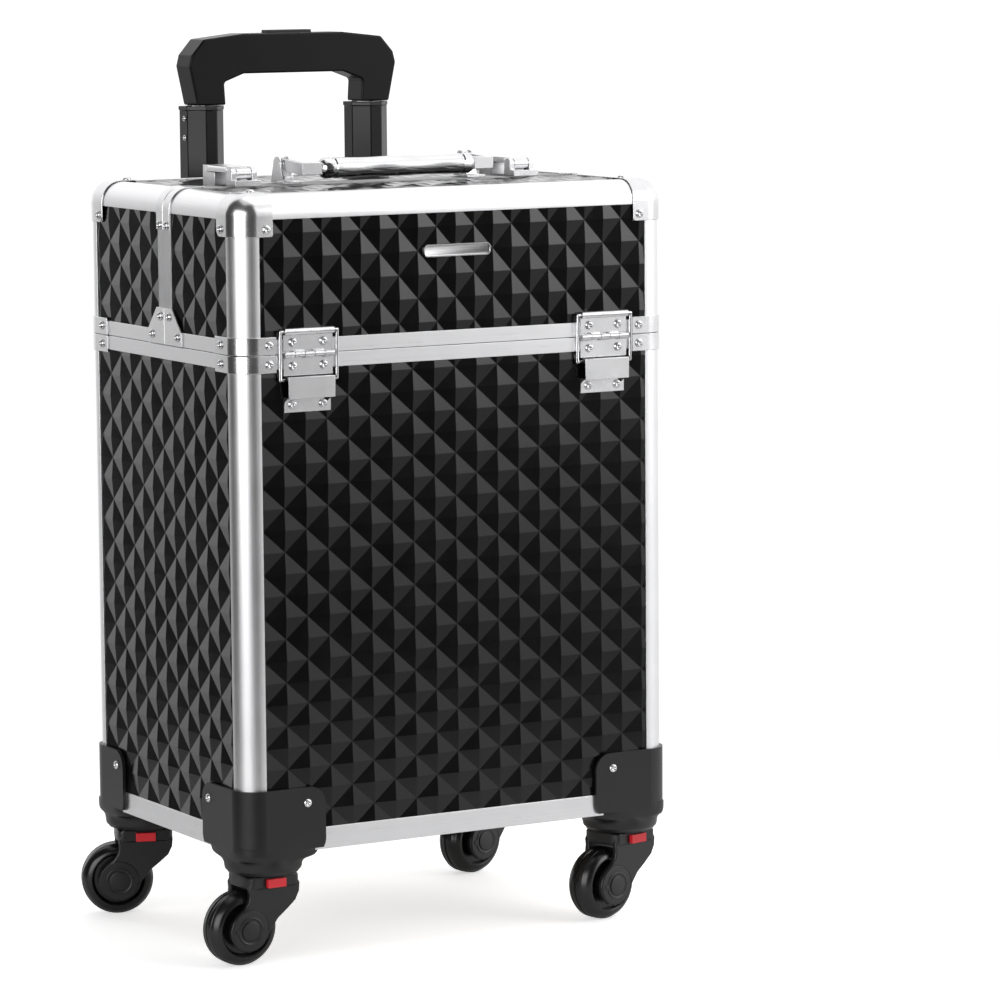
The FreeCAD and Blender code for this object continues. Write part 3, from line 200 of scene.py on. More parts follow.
nickel = finish_of("nickel_plate", grey(0.66), grey(0.80), DRAWN,
                   {"Stretch": (60, 60, 60), "Roughness": 0.26, "Streaks": 0.06, "Smudges": 0.12},
                   (0.06, 0.05), Metallic=1.0)
nickel_grooved = finish_of("nickel_grip", grey(0.70), grey(0.80), DRAWN,
                           {"Stretch": (9, 900, 900), "Roughness": 0.16, "Streaks": 0.12,
                            "Smudges": 0.08}, (0.25, 0.04), Metallic=1.0)
label_metal = finish_of("label_brushed", grey(0.42), grey(0.60), DRAWN,
                        {"Stretch": (12, 12, 1800), "Roughness": 0.30, "Streaks": 0.25,
                         "Smudges": 0.08}, (0.15, 0.02), Metallic=1.0)
zinc = finish_of("zinc_plate", grey(0.34), grey(0.46), DRAWN,
                 {"Stretch": (300, 300, 300), "Roughness": 0.42, "Streaks": 0.12, "Smudges": 0.12},
                 (0.10, 0.05), Metallic=1.0)
tube_black = finish_of("tube_anodised_black", grey(0.002), grey(0.003), DRAWN,
                       {"Stretch": UPRIGHT, "Roughness": 0.30, "Streaks": 0.12, "Smudges": 0.08},
                       (0.08, 0.02), Specular_IOR_Level=0.28)
tube_grey = finish_of("tube_anodised_grey", grey(0.42), grey(0.50), DRAWN,
                      {"Stretch": UPRIGHT, "Roughness": 0.32, "Streaks": 0.14, "Smudges": 0.06},
                      (0.10, 0.02), Metallic=1.0)
plastic = finish_of("housing_satin_black", grey(0.004), grey(0.007), MOULDED,
                    {"Pebble Scale": 2600, "Roughness": 0.40, "Spread": 0.10}, (0.14, 0.06),
                    Specular_IOR_Level=0.5)
grip_plastic = finish_of("grip_satin_black", grey(0.003), grey(0.005), MOULDED,
                         {"Pebble Scale": 2200, "Roughness": 0.34, "Spread": 0.12}, (0.12, 0.05),
                         Specular_IOR_Level=0.20)
tread = finish_of("wheel_gloss_black", grey(0.004), grey(0.007), MOULDED,
                  {"Pebble Scale": 1600, "Roughness": 0.26, "Spread": 0.16}, (0.08, 0.05))
red = finish_of("release_red", (0.50, 0.012, 0.020), (0.62, 0.020, 0.030), MOULDED,
                {"Pebble Scale": 2600, "Roughness": 0.34, "Spread": 0.10}, (0.10, 0.05))
fibreboard = finish_of("floor_board", (0.20, 0.14, 0.085), (0.30, 0.22, 0.14), PILE,
                       {"Fibre Scale": 420, "Roughness": 0.70, "Nap": 0.25}, (0.25, 0.15))
flock = finish_of("flocked_lining", grey(0.008), grey(0.034), PILE,
                  {"Fibre Scale": 1100, "Roughness": 0.86, "Nap": 0.5}, (0.5, 0.25),
                  Sheen_Weight=0.35, Sheen_Roughness=0.5)


# Mesh work

def piece_of(name, mesh, material, smooth_angle=32):
    """A new object around a finished bmesh, shaded smooth up to an angle."""
    data = bpy.data.meshes.new(name)
    mesh.to_mesh(data)
    mesh.free()
    data.shade_smooth()
    data.set_sharp_from_angle(angle=math.radians(smooth_angle))
    piece = bpy.data.objects.new(name, data)
    bpy.context.scene.collection.objects.link(piece)
    data.materials.append(material)
    return piece


def settle(piece, body, slot, *nodes):
    """Join a piece to its body and hide the CAD nodes that it stands for; the slot is not used."""
    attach(piece, body)
    if nodes:
        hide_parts(*nodes)
    return piece


def absorb(whole, part):
    """Add one bmesh to another, and free it."""
    data = bpy.data.meshes.new("part")
    part.to_mesh(data)
    part.free()
    whole.from_mesh(data)
    bpy.data.meshes.remove(data)


def cut_off(mesh, point, normal):
    """Take away what lies past a plane, on the side that its normal points to."""
    geometry = mesh.verts[:] + mesh.edges[:] + mesh.faces[:]
    bmesh.ops.bisect_plane(mesh, geom=geometry, dist=1e-7, plane_co=point, plane_no=normal,
                           clear_outer=True)


def soft_edges(piece, width, segments, angle, clamp=False):
    """Round every edge that is sharper than an angle in degrees, by a width in millimetres."""
    edge = piece.modifiers.new("soft_edges", "BEVEL")
    edge.width = width * MM
    edge.segments = segments
    edge.limit_method = "ANGLE"
    edge.angle_limit = math.radians(angle)
    edge.use_clamp_overlap = clamp


def with_modifiers(piece):
    """Replace a piece's mesh by its mesh after the modifiers, and take them off."""
    bpy.context.view_layer.update()
    graph = bpy.context.evaluated_depsgraph_get()
    data = bpy.data.meshes.new_from_object(piece.evaluated_get(graph), depsgraph=graph,
                                           preserve_all_data_layers=True)
    piece.modifiers.clear()
    piece.data = data
    return piece


def even_shading(piece):
    """Keep flat faces flat beside rounded edges, and apply every modifier."""
    weight = piece.modifiers.new("flat_faces", "WEIGHTED_NORMAL")
    weight.keep_sharp = True
    weight.weight = 100
    return with_modifiers(piece)


def merged(*nodes):
    """The CAD nodes' solids as one bmesh with joined corners and whole flat faces."""
    mesh = bmesh.new()
    for node in nodes:
        mesh.from_mesh(frame["nodes"][node].data)
    bmesh.ops.remove_doubles(mesh, verts=mesh.verts, dist=0.01 * MM)
    bmesh.ops.dissolve_limit(mesh, angle_limit=math.radians(0.5), verts=mesh.verts,
                             edges=mesh.edges)
    return mesh


def dressed(node, slot, material, bevel=0.35, angle=30, segments=2):
    """A CAD node's shape with rounded edges and smooth shading."""
    piece = piece_of(node + "_dressed", merged(node), material, angle)
    soft_edges(piece, bevel, segments, angle)
    even_shading(piece)
    return settle(piece, BODY_OF[node], slot, node)


def solid_boxes(node):
    """Lowest and highest corners of each separate solid of a CAD node."""
    mesh = merged(node)
    boxes, seen = [], set()
    for start in mesh.verts:
        if start in seen:
            continue
        island, queue = [], [start]
        seen.add(start)
        while queue:
            corner = queue.pop()
            island.append(corner.co)
            for edge in corner.link_edges:
                other = edge.other_vert(corner)
                if other not in seen:
                    seen.add(other)
                    queue.append(other)
        low = Vector([min(point[axis] for point in island) for axis in range(3)])
        high = Vector([max(point[axis] for point in island) for axis in range(3)])
        boxes.append((low, high))
    mesh.free()
    return boxes


def close_rings(mesh, rings):
    """Walls between rings of equal length, and a cap on the first and on the last."""
    steps = len(rings[0])
    for near, far in zip(rings, rings[1:]):
        for step in range(steps):
            following = (step + 1) % steps
            mesh.faces.new((near[step], near[following], far[following], far[step]))
    mesh.faces.new(rings[0])
    mesh.faces.new(rings[-1])
    bmesh.ops.recalc_face_normals(mesh, faces=mesh.faces)


def lathe(profile, steps, place):
    """A closed turned shape: (radius, height) pairs in millimetres, turned about place's own Z."""
    mesh = bmesh.new()
    rings = []
    for radius, height in profile:
        if radius < 1e-6:
            rings.append([mesh.verts.new((0, 0, height * MM))])
            continue
        turn = [2 * math.pi * step / steps for step in range(steps)]
        rings.append([mesh.verts.new((radius * MM * math.cos(angle), radius * MM * math.sin(angle),
                                      height * MM)) for angle in turn])
    for low, high in zip(rings, rings[1:]):
        for step in range(steps):
            following = (step + 1) % steps
            corners = [low[step % len(low)], low[following % len(low)],
                       high[following % len(high)], high[step % len(high)]]
            unique = list(dict.fromkeys(corners))
            if len(unique) > 2:
                mesh.faces.new(unique)
    bmesh.ops.recalc_face_normals(mesh, faces=mesh.faces)
    mesh.transform(place)
    return mesh


# Geometry node trees

def shape_tree(name, inputs):
    """A geometry node tree with named inputs and one geometry output."""
    tree = bpy.data.node_groups.new(name, "GeometryNodeTree")
    tree.interface.new_socket("Geometry", in_out="INPUT", socket_type="NodeSocketGeometry")
    for label, kind in inputs:
        tree.interface.new_socket(label, in_out="INPUT", socket_type=kind)
    tree.interface.new_socket("Geometry", in_out="OUTPUT", socket_type="NodeSocketGeometry")
    return tree, tree.nodes.new("NodeGroupInput").outputs, tree.nodes.new("NodeGroupOutput").inputs


def end_tree(tree, given, out, geometry):
    whole = put(tree, "GeometryNodeRealizeInstances", {"Geometry": geometry}).outputs[0]
    coated = put(tree, "GeometryNodeSetMaterial", {"Geometry": whole, "Material": given["Material"]})
    tree.links.new(coated.outputs[0], out["Geometry"])


def shaped(name, tree, data, **values):
    """The plain mesh that a geometry tree makes from its named inputs."""
    source = bpy.data.objects.new(name, data or bpy.data.meshes.new(name))
    bpy.context.scene.collection.objects.link(source)
    modifier = source.modifiers.new("shape", "NODES")
    modifier.node_group = tree
    for socket in tree.interface.items_tree:
        label = socket.name.replace(" ", "_")
        if socket.in_out == "INPUT" and label in values:
            modifier[socket.identifier] = values[label]
    return with_modifiers(source)


PARTING = 0.02  # metres that part the apexes for a moment, so that each quad splits between valleys


def diamond_tree():
    """A sheet of rhombic pyramids: a grid whose every other corner is an apex."""
    tree, given, out = shape_tree("Diamond Sheet", [
        ("Columns", "NodeSocketInt"), ("Rows", "NodeSocketInt"),
        ("Half Across", "NodeSocketFloat"), ("Half Up", "NodeSocketFloat"),
        ("Rise", "NodeSocketFloat"), ("Material", "NodeSocketMaterial")])

    def sums(operation, first, second):
        return maths(tree, operation, first, second)

    grid = put(tree, "GeometryNodeMeshGrid", {
        "Size X": sums("MULTIPLY", given["Columns"], given["Half Across"]),
        "Size Y": sums("MULTIPLY", given["Rows"], given["Half Up"]),
        "Vertices X": sums("ADD", given["Columns"], 1),
        "Vertices Y": sums("ADD", given["Rows"], 1)}).outputs[0]
    index = put(tree, "GeometryNodeInputIndex").outputs[0]
    tall = sums("ADD", given["Rows"], 1)
    column = sums("FLOOR", sums("DIVIDE", sums("ADD", index, 0.5), tall), 0)
    row = sums("FLOOR", sums("SUBTRACT", index, sums("MULTIPLY", column, tall)), 0)
    apex = sums("SUBTRACT", 1, sums("MODULO", sums("ADD", column, row), 2))
    swing = sums("SUBTRACT", sums("MULTIPLY", sums("MODULO", column, 2), 2), 1)

    def moved(sheet, lift):
        offset = put(tree, "ShaderNodeCombineXYZ", {2: lift}).outputs[0]
        return put(tree, "GeometryNodeSetPosition", {"Geometry": sheet, "Offset": offset}).outputs[0]

    parted = moved(grid, sums("MULTIPLY", sums("MULTIPLY", apex, swing), PARTING))
    split = put(tree, "GeometryNodeTriangulate", {"Mesh": parted},
                quad_method="SHORTEST_DIAGONAL").outputs[0]
    rest = sums("SUBTRACT", given["Rise"], sums("MULTIPLY", swing, PARTING))
    end_tree(tree, given, out, moved(split, sums("MULTIPLY", apex, rest)))
    return tree


def rivet_tree():
    """One rivet head on every point, turned to the point's own facing and scaled to its size."""
    tree, given, out = shape_tree("Rivet Row", [
        ("Head", "NodeSocketObject"), ("Material", "NodeSocketMaterial")])
    head = put(tree, "GeometryNodeObjectInfo", {"Object": given["Head"], "As Instance": True})
    facing = put(tree, "GeometryNodeInputNamedAttribute", {"Name": "facing"},
                 data_type="FLOAT_VECTOR")
    size = put(tree, "GeometryNodeInputNamedAttribute", {"Name": "size"}, data_type="FLOAT")
    turn = put(tree, "FunctionNodeAlignRotationToVector", {"Vector": facing.outputs[0]}, axis="Z")
    heads = put(tree, "GeometryNodeInstanceOnPoints", {
        "Points": given["Geometry"], "Instance": head.outputs["Geometry"],
        "Rotation": turn.outputs[0], "Scale": size.outputs[0]})
    end_tree(tree, given, out, heads.outputs[0])
    return tree


def rib_tree():
    """Fine beads beside each other that follow one path."""
    tree, given, out = shape_tree("Path Ribs", [
        ("Count", "NodeSocketInt"), ("Step", "NodeSocketVector"),
        ("Bead Radius", "NodeSocketFloat"), ("Bend Radius", "NodeSocketFloat"),
        ("Material", "NodeSocketMaterial")])
    path = put(tree, "GeometryNodeMeshToCurve", {"Mesh": given["Geometry"]}).outputs[0]
    bent = put(tree, "GeometryNodeFilletCurve", {
        "Curve": path, "Count": 12, "Radius": given["Bend Radius"], "Limit Radius": True},
        mode="POLY").outputs[0]
    ring = put(tree, "GeometryNodeCurvePrimitiveCircle", {"Resolution": 8,
                                                          "Radius": given["Bead Radius"]})
    bead = put(tree, "GeometryNodeCurveToMesh", {
        "Curve": bent, "Profile Curve": ring.outputs[0], "Fill Caps": True}).outputs[0]
    places = put(tree, "GeometryNodeMeshLine", {"Count": given["Count"], "Offset": given["Step"]},
                 mode="OFFSET").outputs[0]
    row = put(tree, "GeometryNodeInstanceOnPoints", {"Points": places, "Instance": bead}).outputs[0]
    end_tree(tree, given, out, row)
    return tree


DIAMONDS, RIVETS, RIBS = diamond_tree(), rivet_tree(), rib_tree()


# Embossed panels

# Half a diamond across and up, and one point of the pattern, both in millimetres, for the plates of
# each node that face along X (0), Y (1) or Z (2).
WIDE = (16.80, 15.03)
TALL = (14.90, 16.45)
SIDE = (16.9, 14.93)
LATTICE = {
    ("lower_wall_panels", 1): (WIDE, (-1.6, 362.6)),
    ("lower_wall_panels", 0): (WIDE, (-66.3, 365.4)),
    ("front_wall_panels", 1): (TALL, (-0.45, 472.55)),
    ("front_wall_panels", 0): (SIDE, (-52.2, 475.1)),
    ("rear_wall_panels", 1): (TALL, (-0.45, 472.55)),
    ("rear_wall_panels", 0): (SIDE, (-52.2, 475.1)),
    ("front_top_panel", 2): (TALL, (-0.45, -60.0)),
    ("rear_top_panel", 2): (TALL, (-0.45, 60.0)),
}
RISE = 1.25
RIDGE_BEVEL = 0.32


def embossed_plate(low, high, half, anchor):
    """One wall plate between two corners, with the diamond sheet as its outer face."""
    size = high - low
    out_axis = min(range(3), key=lambda axis: size[axis])
    across, up = [(1, 2), (0, 2), (0, 1)][out_axis]
    sign = 1 if (low + high)[out_axis] > 0 else -1
    middle = [(low[axis] + high[axis]) / 2 / MM for axis in (across, up)]
    steps = [round((middle[n] - anchor[n]) / half[n]) for n in (0, 1)]
    counts = [2 * math.ceil(size[axis] / MM / half[n] / 2 + 1) for n, axis in enumerate((across, up))]
    if (sum(steps) + sum(counts) // 2) % 2:
        steps[0] += 1
    sheet = shaped("diamond_sheet", DIAMONDS, None, Columns=counts[0], Rows=counts[1],
                   Half_Across=half[0] * MM, Half_Up=half[1] * MM, Rise=RISE * MM,
                   Material=panel_black)
    mesh = bmesh.new()
    mesh.from_mesh(sheet.data)
    bpy.data.objects.remove(sheet)
    columns = [Vector(), Vector(), Vector()]
    columns[0][across] = 1
    columns[1][up] = 1
    columns[2][out_axis] = sign
    place = Matrix(columns).transposed().to_4x4()
    for n, axis in enumerate((across, up)):
        place[axis][3] = (anchor[n] + steps[n] * half[n]) * MM
    place[out_axis][3] = high[out_axis] if sign > 0 else low[out_axis]
    mesh.transform(place)
    ridges = [edge for edge in mesh.edges
              if edge.is_manifold and edge.calc_face_angle(0) > math.radians(1)]
    bmesh.ops.bevel(mesh, geom=ridges, offset=RIDGE_BEVEL * MM, segments=2, profile=0.5,
                    affect="EDGES")
    for axis in (across, up):
        for limit, direction in ((low[axis], -1), (high[axis], 1)):
            point, normal = Vector(), Vector()
            point[axis], normal[axis] = limit, direction
            cut_off(mesh, point, normal)
    border = [edge for edge in mesh.edges if edge.is_boundary]
    grown = bmesh.ops.extrude_edge_only(mesh, edges=border)["geom"]
    back = low[out_axis] if sign > 0 else high[out_axis]
    rim = [item for item in grown if isinstance(item, bmesh.types.BMVert)]
    for corner in rim:
        corner.co[out_axis] = back
    ends = [item for item in grown if isinstance(item, bmesh.types.BMEdge)]
    bmesh.ops.contextual_create(mesh, geom=ends)
    bmesh.ops.recalc_face_normals(mesh, faces=mesh.faces)
    return mesh


def embossed_panels(node):
    """All wall plates of a CAD node as one piece."""
    whole = bmesh.new()
    for low, high in solid_boxes(node):
        size = high - low
        out_axis = min(range(3), key=lambda axis: size[axis])
        absorb(whole, embossed_plate(low, high, *LATTICE[(node, out_axis)]))
    piece = piece_of(node + "_embossed", whole, panel_black, 20)
    even_shading(piece)
    settle(piece, BODY_OF[node], "black_panel", node)


for panel in sorted({key[0] for key in LATTICE}):
    embossed_panels(panel)


# Aluminium frame

for upright in ("lower_corner_posts", "front_corner_posts", "rear_corner_posts"):
    dressed(upright, "satin_aluminium", post_metal, 0.3)
for rail in ("base_rails", "lower_rim_rails", "front_seam_rails", "rear_seam_rails",
             "front_top_rails", "rear_top_rails"):
    dressed(rail, "satin_aluminium", rail_metal, 0.3)
RIB_COUNT, RIB_MARGIN, RIB_SINK, RIB_FOOT = 6, 1.5, 0.12, 0.3


def split_strip(half):
    """Strip beside the split, with fine beads that run up both sides and over the top."""
    node = half + "_split_strip"
    dressed(node, "satin_aluminium", strip_metal, 0.25)
    low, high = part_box(node)
    route = bpy.data.meshes.new("strip_route")
    side = high.x - RIB_SINK * MM
    crest = high.z - RIB_SINK * MM
    foot = low.z + RIB_FOOT * MM
    first = low.y + RIB_MARGIN * MM
    corners = [(-side, first, foot), (-side, first, crest), (side, first, crest), (side, first, foot)]
    route.from_pydata(corners, [(0, 1), (1, 2), (2, 3)], [])
    step = (high.y - low.y - 2 * RIB_MARGIN * MM) / (RIB_COUNT - 1)
    ribs = shaped(half + "_strip_ribs", RIBS, route, Count=RIB_COUNT, Step=(0, step, 0),
                  Bead_Radius=0.42 * MM, Bend_Radius=14.88 * MM, Material=strip_metal)
    ribs.data.shade_smooth()
    settle(ribs, BODY_OF[node], "satin_aluminium")


for half in ("front", "rear"):
    split_strip(half)


# Rivets

def turned_head():
    """Eyelet head of a drawn rivet: a rolled rim around a small sunk middle."""
    profile = [(0, -0.6), (2.6, -0.6), (3.1, 0.0), (3.08, 0.35), (2.8, 0.85), (2.3, 1.28),
               (1.85, 1.45), (1.45, 1.36), (1.25, 1.05), (1.12, 0.6), (0.6, 0.45), (0, 0.42)]
    return piece_of("rivet_head", lathe(profile, 22, Matrix()), nickel, 60)


# Seat of each head on the right side of the case, and the way that it faces.
CASE_RIVETS = [
    ((147, -121, 416.7), "-y"), ((171, -94.5, 416.7), "x"), ((123, -122.5, 113), "-y"),
    ((172.5, -69, 113), "x"), ((105.7, -121, 415.1), "-y"), ((129.3, -121, 415.1), "-y"),
    ((105.7, -119.5, 388.6), "-y"), ((129.3, -119.5, 388.6), "-y"), ((147, 121, 416.7), "y"),
    ((171, 94.5, 416.7), "x"), ((123, 122.5, 113), "y"), ((172.5, 80, 113), "x"),
    ((147, 121, 429.7), "y"), ((171, 94.5, 429.7), "x"), ((148, 121, 508.4), "y"),
    ((171, 97, 508.4), "x"), ((148, 97, 533), "z"), ((171, -2.75, 506.4), "x"),
    ((171, -1.2, 443), "x"), ((171, 11.8, 429.7), "x"), ((82.7, 135.2, 573.4), "small x"),
    ((82.7, 135.2, 559.4), "small x")]
FRONT_RIVETS = [
    ((147, -121, 429.7), "-y"), ((171, -94.5, 429.7), "x"), ((148, -121, 508.4), "-y"),
    ((171, -97, 508.4), "x"), ((148, -97, 533), "z"), ((171, -13.25, 506.4), "x"),
    ((171, -14.8, 443), "x"), ((171, -27.8, 429.7), "x"), ((105.7, -121, 431.3), "-y"),
    ((129.3, -121, 431.3), "-y")]
SMALL_HEAD = 0.7
FACINGS = {"x": (1, 0, 0), "y": (0, 1, 0), "-y": (0, -1, 0), "z": (0, 0, 1)}


def rivet_set(name, places, node):
    """Heads at the listed places and at their mirror images across the middle."""
    data = bpy.data.meshes.new(name)
    points, facings, sizes = [], [], []
    for (x, y, z), way in places:
        direction = FACINGS[way.split()[-1]]
        for side in (1, -1):
            points.append((side * x * MM, y * MM, z * MM))
            facings.append((side * direction[0], direction[1], direction[2]))
            sizes.append(SMALL_HEAD if "small" in way else 1.0)
    data.from_pydata(points, [], [])
    for title, kind, field, values in (("facing", "FLOAT_VECTOR", "vector", facings),
                                       ("size", "FLOAT", "value", sizes)):
        layer = data.attributes.new(title, kind, "POINT")
        for number, value in enumerate(values):
            setattr(layer.data[number], field, value)
    heads = shaped(name, RIVETS, data, Head=head, Material=nickel)
    settle(heads, BODY_OF[node], "bright_steel", node)


head = turned_head()
rivet_set("case_rivet_heads", CASE_RIVETS, "body_rivets")
rivet_set("front_rivet_heads", FRONT_RIVETS, "front_rivets")
bpy.data.objects.remove(head)


# Plated fittings

for fitting in ("lower_seam_brackets", "front_brackets", "rear_brackets", "stay_lower_leaves",
                "stay_upper_leaves", "stay_channels", "latch_hasp_left", "latch_hasp_right",
                "latch_hinge_bases", "latch_lock_bodies", "handle_lugs", "handle_arms"):
    dressed(fitting, "bright_steel", nickel, 0.28)
for cap in ("front_corner_caps", "rear_corner_caps"):
    dressed(cap, "bright_steel", nickel, 0.3, 34)
dressed("stay_wires", "bright_steel", nickel, 0.05, 60)


def name_plate():
    """Bare plate with rounded corners, a rolled rim and a sunk field."""
    low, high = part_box("name_plate")
    middle, half = (low + high) / 2, (high - low) / 2
    corner, steps = 3.4, 32
    rings = []
    mesh = bmesh.new()
    for inset, depth in ((0.0, 0.0), (0.0, 0.7), (0.25, 1.0), (0.75, 1.0), (0.95, 0.72), (1.3, 0.68)):
        ring = []
        for step in range(steps):
            turn = math.tau * (step + 0.5) / steps
            across, up = math.cos(turn), math.sin(turn)
            x = math.copysign(half.x / MM - corner, across) + (corner - inset) * across
            z = math.copysign(half.z / MM - corner, up) + (corner - inset) * up
            front = high.y - depth * 2 * half.y
            ring.append(mesh.verts.new((middle.x + x * MM, front, middle.z + z * MM)))
        rings.append(ring)
    close_rings(mesh, rings)
    piece = piece_of("name_plate_rolled", mesh, label_metal, 30)
    settle(piece, BODY_OF["name_plate"], "plate_metal", "name_plate")


name_plate()
dressed("rear_tie_plates", "plain_steel", zinc, 0.2)
dressed("trolley_clamps", "plain_steel", tube_black, 0.6)


def carry_grip():
    """Bright grip turned with shallow finger grooves and ball ends."""
    low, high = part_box("handle_grip")
    centre = (low + high) / 2 / MM
    half = (high.x - low.x) / 2 / MM
    radius = (high.z - low.z) / 2 / MM
    end = [(0, -half), (radius * 0.55, -half), (radius * 0.85, -half + 1.2), (radius, -half + 3.5),
           (radius, -half + 8), (radius * 0.90, -half + 8.8), (radius * 0.90, -half + 10.4),
           (radius, -half + 11.2)]
    first, steps, waves, depth = 12 - half, 40, 2, 0.03
    grooves = []
    for number in range(steps + 1):
        wave = math.cos(math.tau * waves * number / steps)
        grooves.append((radius * (1 - depth + depth * wave), first - 2 * first * number / steps))
    mirrored = [(reach, -along) for reach, along in reversed(end)]
    place = Matrix.Translation(centre * MM) @ Matrix.Rotation(math.pi / 2, 4, "Y")
    shape = lathe(end + grooves + mirrored, 48, place)
    piece = piece_of("carry_grip", shape, nickel_grooved, 40)
    settle(piece, "carry_handle", "bright_steel", "handle_grip")


carry_grip()


# Trolley handle

dressed("trolley_outer_tubes", "grey_metal", tube_black, 0.5)
dressed("trolley_inner_tubes", "grey_metal", tube_grey, 0.4)
dressed("trolley_bushes", "black_plastic", plastic, 0.5)
dressed("trolley_grip", "black_plastic", grip_plastic, 1.3, 30, 4)
dressed("trolley_button", "black_plastic", plastic, 0.6, 30, 3)


# Casters

STEM_X, STEM_Y = 144.6, 96
SWIVELS = {"front_left": (-1, -1, 182.1), "front_right": (1, -1, 193.3),
           "rear_left": (-1, 1, 160.3), "rear_right": (1, 1, 195.2)}
SKIRT_TOP = 81
PLATE_DEPTHS = ((-1, 63.5), (1, 52.5))


def outline_point(angle, reach, radius):
    """Point of a square outline with soft corners, in a direction from its middle."""
    x, y = math.cos(angle), math.sin(angle)
    power = 2 + reach / radius
    size = (abs(x) ** power + abs(y) ** power) ** (-1 / power)
    return reach * size * x, reach * size * y


def housing_skirt(side, end, depth):
    """Lower part of a corner housing: plate corners that sweep in to a round collar.

    Each section is its height, its share of the plate's outline, and the collar's radius.
    """
    sections = [(84.0, 1.0, 27), (80.5, 0.995, 27), (78.4, 0.97, 27), (76.8, 0.91, 27),
                (75.6, 0.81, 27), (74.9, 0.68, 27), (74.3, 0.50, 27), (73.4, 0.30, 27),
                (72.2, 0.14, 27), (70.8, 0.05, 27), (69.2, 0.0, 27), (67.2, 0.0, 26.7),
                (66.2, 0.0, 26.3), (65.8, 0.0, 25.6), (64.2, 0.0, 24.6)]
    low = Vector((109.0, 122.5 - depth))
    high = Vector((172.45, 122.45))
    middle, reach = (low + high) / 2, (high - low) / 2
    steps = 72
    mesh = bmesh.new()
    rings = []
    for z, square, radius in sections:
        ring = []
        for step in range(steps):
            angle = 2 * math.pi * step / steps
            x, y = outline_point(angle, reach.x, 12)
            plate = Vector((middle.x + x, middle.y + y * reach.y / reach.x))
            collar = Vector((STEM_X + radius * math.cos(angle),
                             STEM_Y + radius * math.sin(angle)))
            spot = plate * square + collar * (1 - square)
            ring.append(mesh.verts.new((side * spot.x * MM, end * spot.y * MM, z * MM)))
        rings.append(ring)
    close_rings(mesh, rings)
    return mesh


def housings():
    """Corner housings: the plates of the CAD shape with a swept skirt and collar below."""
    whole = merged("caster_housings")
    cut_off(whole, (0, 0, SKIRT_TOP * MM), (0, 0, -1))
    for side in (-1, 1):
        for end, depth in PLATE_DEPTHS:
            absorb(whole, housing_skirt(side, end, depth))
    piece = piece_of("corner_housings", whole, plastic, 34)
    even_shading(piece)
    settle(piece, "case", "black_plastic", "caster_housings")


housings()


def swivel_frame(corner):
    """Floor point under a caster's stem, turned so that its X axis points at the wheel."""
    side, end, yaw = SWIVELS[corner]
    stem = Vector((side * STEM_X, end * STEM_Y, 0)) * MM
    return Matrix.Translation(stem) @ Matrix.Rotation(math.radians(yaw), 4, "Z")


AXLE = Matrix.Translation(Vector((19.5, 0, 26)) * MM)
TURN_OUT = {face: Matrix.Rotation(-face * math.pi / 2, 4, "X") for face in (1, -1)}


def wheel(corner):
    """Wheel with a twin-ridged tread, sunk side discs and a hub."""
    node = "caster_wheel_" + corner
    half = [(0, 6.4), (3.8, 6.4), (4.4, 6.0), (7.6, 6.0), (8.0, 9.0), (9.2, 9.4), (10.4, 9.0),
            (10.8, 6.9), (17.2, 6.5), (17.9, 7.0), (18.6, 10.4), (19.4, 10.95), (20.6, 10.8),
            (22.4, 9.9), (24.0, 8.2), (24.9, 6.6), (25.35, 5.4), (25.75, 5.1), (25.8, 4.6),
            (25.55, 4.3), (25.85, 3.2), (26.0, 1.6), (25.98, 1.1), (25.3, 0.8), (25.3, 0)]
    profile = half + [(r, -h) for r, h in reversed(half[:-1])]
    place = swivel_frame(corner) @ AXLE @ TURN_OUT[-1]
    piece = piece_of(node + "_turned", lathe(profile, 72, place), tread, 32)
    settle(piece, "wheel_" + corner, "wheel_rubber", node)


FORK_SIDE = [(-17.5, 60), (-19.9, 56), (-19.4, 50), (-16.5, 44), (-10, 38.4), (-2.5, 32.5),
             (3.2, 25), (5.6, 19.5), (9.5, 14.8), (14.5, 11.9), (20, 11.0), (26, 12.6), (31, 16.6),
             (34, 22), (34.5, 27.5), (32.6, 33), (28.5, 37.5), (23.5, 41.2), (20.2, 46), (19.4, 51),
             (19.9, 56), (17.5, 60)]
ARM_INNER, ARM_OUTER = 11.9, 16.3
CROWN_REACH, CROWN_SIDE = 24.5, 16.9
BUTTON_SCALE = 0.84


